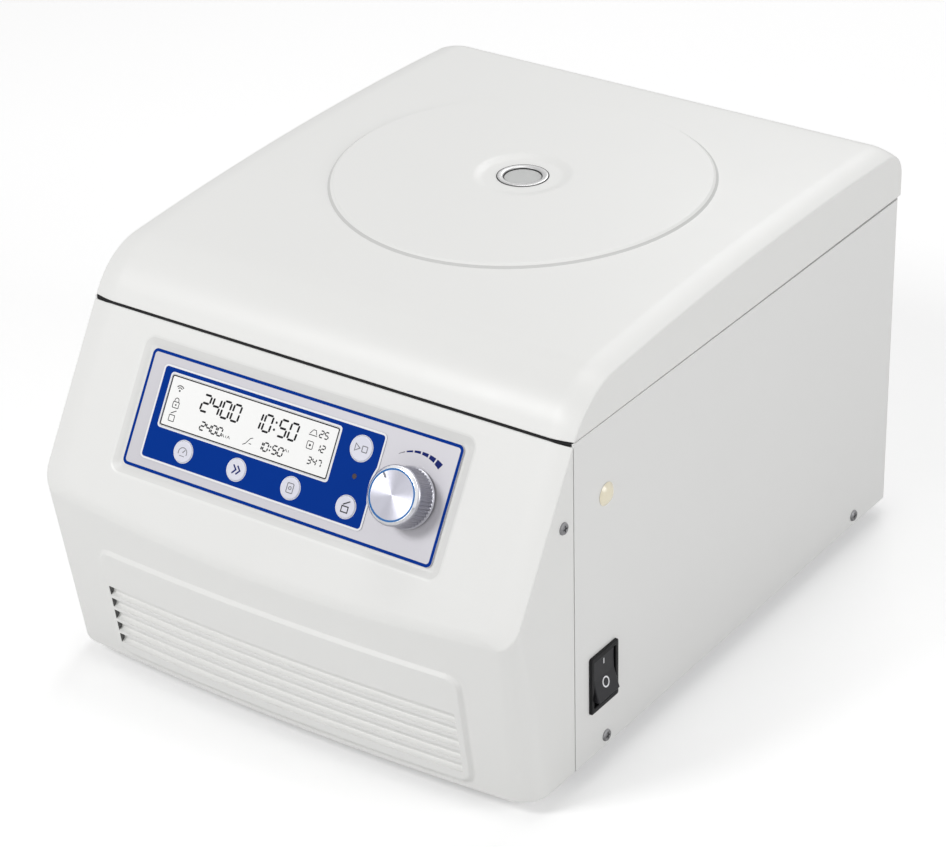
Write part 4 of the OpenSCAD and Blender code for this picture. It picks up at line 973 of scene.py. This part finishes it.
# Segments of a digit as (x, y) in a cell one unit wide and high: a to g
SEGMENTS = {"a": ((0, 1), (1, 1)), "b": ((1, 1), (1, 0.5)), "c": ((1, 0.5), (1, 0)), "d": ((1, 0), (0, 0)),
            "e": ((0, 0), (0, 0.5)), "f": ((0, 0.5), (0, 1)), "g": ((0, 0.5), (1, 0.5))}
DIGITS = {"0": "abcdef", "1": "bc", "2": "abged", "3": "abgcd", "4": "fgbc", "5": "afgcd", "7": "abc"}
LEAN = 0.1

# Numbers on the display: text, left, foot, and size as (width, height, pitch, stroke)
LARGE, MEDIUM, SMALL = (4.3, 8.1, 6.1, 1.05), (2.6, 4.0, 3.5, 0.72), (2.0, 3.2, 2.9, 0.58)
NUMBERS = (("2400", -55.6, 6.8, LARGE), ("10:50", -24.4, 6.8, LARGE), ("2400", -52.9, -2.0, MEDIUM),
           ("10:50", -18.2, -2.0, MEDIUM), ("25", 14.0, 12.4, SMALL), ("12", 14.0, 5.9, SMALL),
           ("347", 11.2, -1.0, SMALL))

# Line round the display, and the strokes of its small signs: unit marks, signal waves, padlock, open lid,
# slope, store and curve
SCREEN_FRAME = ((100.2, 25.0, 1.0), (99.0, 23.8, 0.6))
SIGNAL_AT = (-69.8, 12.6)
SCREEN_STROKES = [
    ([(-39.4, -1.9), (-38.6, -0.7), (-37.8, -1.9)], 0.3), ([(-36.8, -1.9), (-36.8, -0.7)], 0.3),
    ([(-36.0, -1.9), (-35.2, -0.7), (-34.4, -1.9)], 0.3), ([(-0.2, 0.9), (-0.2, 2.0)], 0.3),
    ([(-2.6, 0.9), (-1.8, 2.0), (-1.0, 0.9)], 0.3),
    (arc(*SIGNAL_AT, 1.5, 12, radians(38), radians(142)), 0.45),
    (arc(*SIGNAL_AT, 2.5, 12, radians(38), radians(142)), 0.45),
    (round_rect(-69.8, 5.6, 3.6, 2.9, 0.4, 3), 0.38, True),
    ([(-71.0, 7.1)] + arc(-69.8, 7.9, 1.15, 10, pi, 0) + [(-68.6, 7.1)], 0.38),
    (round_rect(-70.2, -1.0, 3.2, 3.0, 0.3, 3), 0.38, True), ([(-71.4, 1.2), (-68.4, 2.9)], 0.42),
    ([(8.6, 12.8), (10.2, 14.9), (11.8, 14.9), (12.6, 12.8)], 0.36),
    ([(8.2, 12.3), (13.0, 12.3)], 0.36), (round_rect(10.4, 7.5, 3.4, 3.6, 0.6, 3), 0.36, True),
    ([(-26.4, -2.2), (-24.9, -1.3), (-22.9, 1.5), (-21.4, 2.2)], 0.36),
    ([(-23.0, -0.9), (-21.6, -0.9)], 0.36)]
SCREEN_DOTS = ((*SIGNAL_AT, 0.5, 14), (-69.8, 5.6, 0.45, 10), (10.4, 7.5, 0.6, 10))


def digits(shape, text, x, foot, size, h0, h1):
    """Seven-segment numbers, drawn with complex numbers for points; a colon takes half a place."""
    w, h, pitch, stroke = size
    for ch in text:
        if ch == ":":
            for y in (0.28, 0.72):
                cx, cy = x - (pitch - w) / 2 + 0.25 * pitch + LEAN * y * h, foot + y * h
                shape.prism(circle(cx, cy, stroke * 0.6, 10), h0, h1)
            x += 0.5 * pitch
            continue
        for s in DIGITS[ch]:
            p, q = (complex(x + u * w, foot + v * h) for u, v in SEGMENTS[s])
            along = (q - p) / abs(q - p) * stroke
            a, b, across, tip = p + along * 0.62, q - along * 0.62, along * 0.5j, along * 0.35
            hexagon = (a - tip, a + across, b + across, b + tip, b - across, a - across)
            shape.prism([(c.real + LEAN * (c.imag - foot), c.imag) for c in hexagon], h0, h1)
        x += pitch


def screen_print(shape, h0, h1):
    outer, inner = (round_rect(*SCREEN_AT, w, v, r, 4) for w, v, r in SCREEN_FRAME)
    shape.band(outer, inner, h0, h1)
    for text, left, foot, size in NUMBERS:
        digits(shape, text, left, foot, size, h0, h1)
    shape.strokes(SCREEN_STROKES, h0, h1)
    for dot in SCREEN_DOTS:
        shape.prism(circle(*dot), h0, h1)


printed("screen_characters", INK, "screen_face", screen_print, PRINT_TOP)

# Keys: domed caps with a flange behind the plate, and the strokes of their marks
KEY_TOP = 0.1
KEY_FLANGE = (-3.0, -1.8)
KEY_FOOT = -6.8
KEY_EDGE = ((0, 0.45), (0.06, 0.22), (0.22, 0.06), (0.5, 0), (1.3, 0.02))
KEY_ROWS = (
    ("start", START_AT, START_R, INK_GREY, [
        ([(-3.3, -1.7), (-3.3, 1.7), (-0.6, 0)], 0.42, True),
        (round_rect(2.1, 0, 2.8, 2.8, 0.3, 3), 0.42, True)]),
    ("mode", KEYS[0], KEY_R, INK_GREY, [
        (arc(0, -0.6, 2.5, 18, radians(-20), radians(200)), 0.36),
        ([(0, -0.6), (1.2, 1.0)], 0.4), ([(-1.4, -2.2), (1.4, -2.2)], 0.3)]),
    ("shift", KEYS[1], KEY_R, NAVY, [
        ([(-1.9, -2.1), (0, 0), (-1.9, 2.1)], 0.75), ([(0.5, -2.1), (2.4, 0), (0.5, 2.1)], 0.75)]),
    ("program", KEYS[2], KEY_R, INK_GREY, [
        (round_rect(0, 0, 3.6, 4.6, 0.5, 3), 0.4, True), (circle(0, 0, 0.75, 12), 0.34, True)]),
    ("lid", KEYS[3], KEY_R, INK, [
        ([(-1.9, -2.6), (1.7, -2.6), (1.7, 0.2), (-1.9, 0.2)], 0.5, True),
        ([(-1.6, 0.9), (2.0, 3.0)], 0.55)]))
for name, at, r, ink, rows in KEY_ROWS:
    key = Shape()
    key.lathe([(0, KEY_FOOT), (r / 3, KEY_FOOT), (r / 3, KEY_FLANGE[0]), (r + 0.8, KEY_FLANGE[0]),
               (r + 0.8, KEY_FLANGE[1]), (r, KEY_FLANGE[1])]
              + [(r - d, KEY_TOP - h) for d, h in KEY_EDGE] + [(0, KEY_TOP - 0.1)], 64)
    body, spot = name + "_button", on_panel(*at)
    make(name + "_key", key, [KEY], body, "key_grey", ["key_" + name], place=spot)
    printed(name + "_key_mark", ink, "screen_face", lambda shape, h0, h1: shape.strokes(rows, h0, h1),
            KEY_TOP - 0.03, body, place=spot, thick=0.08)

# Speed knob: ribbed grip and a spun face with a blue ring
KNOB_H = 14.5
KNOB_FOOT = 0.1
RIBS = 48
RIB_D = 0.6
RIB_SPAN = (1.7, 11.6)
FACE_Z = KNOB_H - 0.06
BLUE_RING = (11.5, 12.5)
POINTER = (8.7, 11.5)
POINTER_W = 1.0
POINTER_A = radians(130)
CAP_FOOT = 13.45


def rib(a, h):
    return -RIB_D * (1 - cos(RIBS * a)) / 2 if RIB_SPAN[0] < h < RIB_SPAN[1] else 0.0


knob_spot = on_panel(*KNOB_AT)
grip = Shape()
grip.lathe([(0, KNOB_FOOT), (14.5, KNOB_FOOT), (14.8, 0.4), (14.8, 0.9), (14.4, 1.2)]
           + [(KNOB_R, h) for h in (1.5, 1.9, 11.4, 11.8, 12.7)]
           + [(13.9, 13.1), (13.55, CAP_FOOT), (0, CAP_FOOT)], RIBS * 8, wave=rib)
make("knob_grip", grip, [KNOB], "knob", "knob_metal", ["speed_knob"], place=knob_spot, sharp=50)
cap = Shape()
for mat, profile in enumerate((
        [(0, CAP_FOOT), (13.5, CAP_FOOT), (13.5, 13.6), (12.75, KNOB_H - 0.1), (12.6, KNOB_H - 0.02),
         (12.45, KNOB_H), (BLUE_RING[1], FACE_Z)],
        [(BLUE_RING[1], FACE_Z), (BLUE_RING[0], FACE_Z)],
        [(r, FACE_Z) for r in (BLUE_RING[0], 11.2, 8.0, 4.0, 0.4, 0)])):
    cap.lathe(profile, 192, mat)
make("knob_top", cap, [KNOB_EDGE, KNOB_BLUE, KNOB_FACE], "knob", "knob_face", ["knob_cap"],
     place=knob_spot, sharp=25)


def pointer(shape, h0, h1):
    shape.line([(r * cos(POINTER_A), r * sin(POINTER_A)) for r in POINTER], POINTER_W, h0, h1)


printed("knob_pointer", INK_GREY, "knob_face", pointer, FACE_Z, "knob", place=knob_spot, thick=0.07)

# Sight window in the lid
WINDOW_TOP = high("window_ring").z
WINDOW_LOW = low("window_ring").z
RING_LIP = WINDOW_TOP - 1.9
SLEEVE_R = RING_R - 1.6
BORE_R = 9.9
SEAL_T = 0.5
ring = Shape()
ring.lathe([(BORE_R, WINDOW_LOW), (SLEEVE_R, WINDOW_LOW), (SLEEVE_R, RING_LIP), (RING_R - 0.1, RING_LIP)]
           + [(RING_R - d, WINDOW_TOP - h) for d, h in ((0.1, 0.5), (0.25, 0.2), (0.6, 0.03), (1.0, 0))]
           + [(BORE_R + d, WINDOW_TOP - h) for d, h in ((0.8, 0.05), (0.3, 0.25), (0, 0.6))]
           + [(BORE_R, WINDOW_LOW)], 128, y=Y_CHAMBER)
make("window_bezel", ring, [RING], "lid", "window_metal", ["window_ring"])
pane_top, pane_low = high("window_glass").z, low("window_glass").z
pane = Shape()
pane.lathe([(0, pane_low), (BORE_R - 0.4, pane_low), (BORE_R - 0.1, pane_low + 0.3),
            (BORE_R - 0.1, pane_top - 0.3), (BORE_R - 0.4, pane_top), (0, pane_top)], y=Y_CHAMBER)
make("window_pane", pane, [GLASS], "lid", "window_glass", ["window_glass"])


def collar(name, r, z):
    """Thin round seal of the window."""
    seal = Shape()
    seal.lathe(arc(r, z, SEAL_T / 2, 11, 0, 2 * pi), 128, y=Y_CHAMBER)
    make(name, seal, [RUBBER], "lid", "black_rubber")


collar("window_outer_seal", RING_R + 0.02, WINDOW_TOP - 0.42)
collar("window_inner_seal", BORE_R - 0.25, pane_top + 0.1)

# Rocker switch on the right side
ROCKER_AT = (HALF_W, Y_SEAM + 23.7, Z_CASE + 41.0)
ROCKER = placed(SIDE_AXES, ROCKER_AT)
BEZEL = [(21.3, 28.8, 1.2, -16), (21.3, 28.8, 1.2, 0), (23.7, 31.2, 1.2, 0), (23.7, 31.2, 1.2, 1.1),
         (23.3, 30.8, 1.0, 1.45), (22.7, 30.2, 0.8, 1.6), (19.4, 26.6, 0.8, 1.6), (18.8, 25.9, 0.7, 1.3),
         (18.6, 25.7, 0.6, 0.6), (18.6, 25.7, 0.6, -12.9)]
bezel = Shape()
bezel.tube([[(*p, h) for p in round_rect(0, 0, w, v, r, 4)] for w, v, r, h in BEZEL])
make("rocker_frame", bezel, [SWITCH], "base", "switch_black", ["rocker_bezel"], place=ROCKER)

PADDLE_W = 17.9
PIVOT_IN = 6.0
TILT = radians(9)
PADDLE_TIP = (8.6, 11.1)
PADDLE_MID = 7.0


def paddle_out(up):
    """How far the paddle's two curved faces stand out from its pivot."""
    t = abs(up) / PADDLE_TIP[1]
    return PADDLE_MID + (PADDLE_TIP[0] - PADDLE_MID) * (0.75 * t + 0.25 * t * t)


def tilt(p):
    """From (across, up, out) about the pivot to the switch's own frame, with the lower end out."""
    x, up, out = p
    return (x, out * sin(TILT) + up * cos(TILT), out * cos(TILT) - up * sin(TILT) - PIVOT_IN)


paddle = Shape()
ups = [PADDLE_TIP[1] * (1 - k / 8) for k in range(17)]
outline = [(-4.0, 3.0), (4.0, 10.5)] + [(paddle_out(up), up) for up in ups] + [(4.0, -10.5), (-4.0, -3.0)]
paddle.tube([[tilt((s * PADDLE_W / 2, up, out)) for out, up in outline] for s in (-1, 1)])
make("rocker_key", paddle, [PADDLE], "rocker", "switch_black", ["rocker_paddle"], place=ROCKER, bevel=0.5)
marks = Shape()
marks.line([(0, 6.4), (0, 9.3)], 0.7, -0.03, 0.04)
marks.line(circle(0, -3.6, 2.4, 28), 0.75, -0.03, 0.04, closed=True)
marks.points = [tilt((x, up, paddle_out(up) + h)) for x, up, h in marks.points]
make("rocker_marks", marks, [LINE_WHITE], "rocker", "key_grey", place=ROCKER, weighted=False)

# Cream plug over the emergency release
PLUG_R = 5.85
PLUG_H = 2.6
plug_spot = placed(SIDE_AXES, (HALF_W + 0.1, middle("release_plug", 1), middle("release_plug", 2)))
dome_r = PLUG_R ** 2 / PLUG_H / 2 + PLUG_H / 2
dome = [(sqrt(dome_r ** 2 - (h - PLUG_H + dome_r) ** 2), h) for h in (PLUG_H * k / 10 for k in range(1, 10))]
plug = Shape()
plug.lathe([(0, -6.0), (3.4, -6.0), (3.85, -5.4), (3.85, 0), (PLUG_R - 0.15, 0), (PLUG_R, 0.12)]
           + dome + [(0, PLUG_H)], 72)
make("plug_button", plug, [CREAM], "plug", "cream_plastic", ["release_plug"], place=plug_spot)

# Finishes of the nodes that keep their own shape
FINISH = (
    (PAN, "base_pan"), (SHEET, "case_cover"), (STAINLESS, "chamber_bowl"), (ALLOY, "rotor_body"),
    (NUT, "rotor_nut"), (RUBBER, "feet deck_seal shaft_seal motor_dampers chamber_gasket"),
    (ZINC, "motor_plate latch_hook hinge_bases hinge_arms lock_body release_rod"), (SILVER, "panel_plate"),
    (SHAFT, "motor_shaft hinge_pins lock_bolt"), (DECK, "top_deck lid_liner"),
    (DARK, "motor_housing encoder"),
    (BOARD, "control_board power_board"), (COPPER, "lock_solenoid"), (LCD, "lcd_module"), (LED, "status_led"),
    (SWITCH, "mains_inlet"), (PADDLE, "fuse_drawer"), (SCREW, "case_screws"),
    *((mat, name + str(i)) for i in range(1, 5) for mat, name in (
        (CLIP, "slide_clip_"), (SLIDE, "glass_slide_"), (CHAMBER, "sample_chamber_"))))
for mat, names in FINISH:
    for name in names.split():
        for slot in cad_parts[name].material_slots:
            slot.material = mat

# Camera, solved from the photograph's edges
YAW = 0.6158
PITCH = 0.5045
ROLL = -0.0239
ahead = Vector((-sin(YAW) * cos(PITCH), cos(YAW) * cos(PITCH), -sin(PITCH)))
right = Vector((cos(YAW), sin(YAW), 0))
above = right.cross(ahead)
right, above = cos(ROLL) * right + sin(ROLL) * above, -sin(ROLL) * right + cos(ROLL) * above
camera = new_object("camera", bpy.data.cameras.new("camera"))
camera.data.lens = 121.13
camera.data.sensor_width = 36.0
camera.data.clip_end = 50.0
pose = Matrix((right, above, -ahead)).transposed().to_4x4()
pose.translation = (0.8188, -1.16839, 0.8823)
camera.matrix_world = pose
scene.camera = camera
scene.view_settings.view_transform = "Standard"

# Lamps: name, place, size and power
LAMPS = (("top", (-0.1, 0.4, 2.0), (0.8, 0.8), 6.0),
         ("back", (-0.5, 1.7, 1.5), (0.8, 0.8), 7.0),
         ("front", (0.3, -2.3, 0.35), (1.6, 0.6), 6.0),
         ("high", (-0.7, -1.5, 1.5), (0.6, 0.5), 17.5),
         ("side", (2.0, 0.1, 0.9), (1.0, 0.8), 14.5))
LAMP_TARGET = Vector((0, 0, 0.1))
for name, place, size, power in LAMPS:
    data = bpy.data.lights.new(name, "AREA")
    data.shape = "RECTANGLE"
    data.size, data.size_y = size
    data.energy = power
    lamp = new_object(name, data)
    lamp.location = place
    lamp.rotation_euler = (LAMP_TARGET - Vector(place)).to_track_quat("-Z", "Y").to_euler()

# Background and floor: white where they are seen, softer as a light
WHITE = (1, 1, 1, 1)


def blend(nodes, links, factor, plain, shown, output):
    """The shown shader where the factor is one, the plain one elsewhere."""
    pick = add(nodes, "MixShader")
    links.new(factor, pick.inputs["Fac"])
    links.new(plain.outputs[0], pick.inputs[1])
    links.new(shown.outputs[0], pick.inputs[2])
    links.new(pick.outputs[0], output.inputs["Surface"])


world = bpy.data.worlds.new("studio")
scene.world = world
world.use_nodes = True
nodes, links = world.node_tree.nodes, world.node_tree.links
rays = add(nodes, "LightPath")
seen = rays.outputs["Is Camera Ray"]
for kind in ("Is Transmission Ray", "Is Glossy Ray"):
    either = add(nodes, "Math")
    either.operation = "MAXIMUM"
    links.new(seen, either.inputs[0])
    links.new(rays.outputs[kind], either.inputs[1])
    seen = either.outputs[0]
put(nodes["Background"], Color=WHITE, Strength=1.0)
lit = add(nodes, "Background", Color=WHITE, Strength=0.28)
blend(nodes, links, seen, lit, nodes["Background"], nodes["World Output"])

FLOOR = 6.0
PAINT = {"Base_Color": (0.8, 0.8, 0.8, 1), "Roughness": 0.9}
mesh = bpy.data.meshes.new("floor")
corners = [(x * FLOOR, y * FLOOR, 0) for x, y in ((-1, -1), (1, -1), (1, 1), (-1, 1))]
mesh.from_pydata(corners, [], [(0, 1, 2, 3)])
floor = new_object("floor", mesh)
mat = bpy.data.materials.new("studio floor")
mat.use_nodes = True
nodes, links = mat.node_tree.nodes, mat.node_tree.links
put(nodes["Principled BSDF"], **PAINT)
pale = add(nodes, "BsdfPrincipled", Emission_Color=WHITE, Emission_Strength=0.35, **PAINT)
seen = add(nodes, "LightPath").outputs["Is Camera Ray"]
blend(nodes, links, seen, nodes["Principled BSDF"], pale, nodes["Material Output"])
mesh.materials.append(mat)
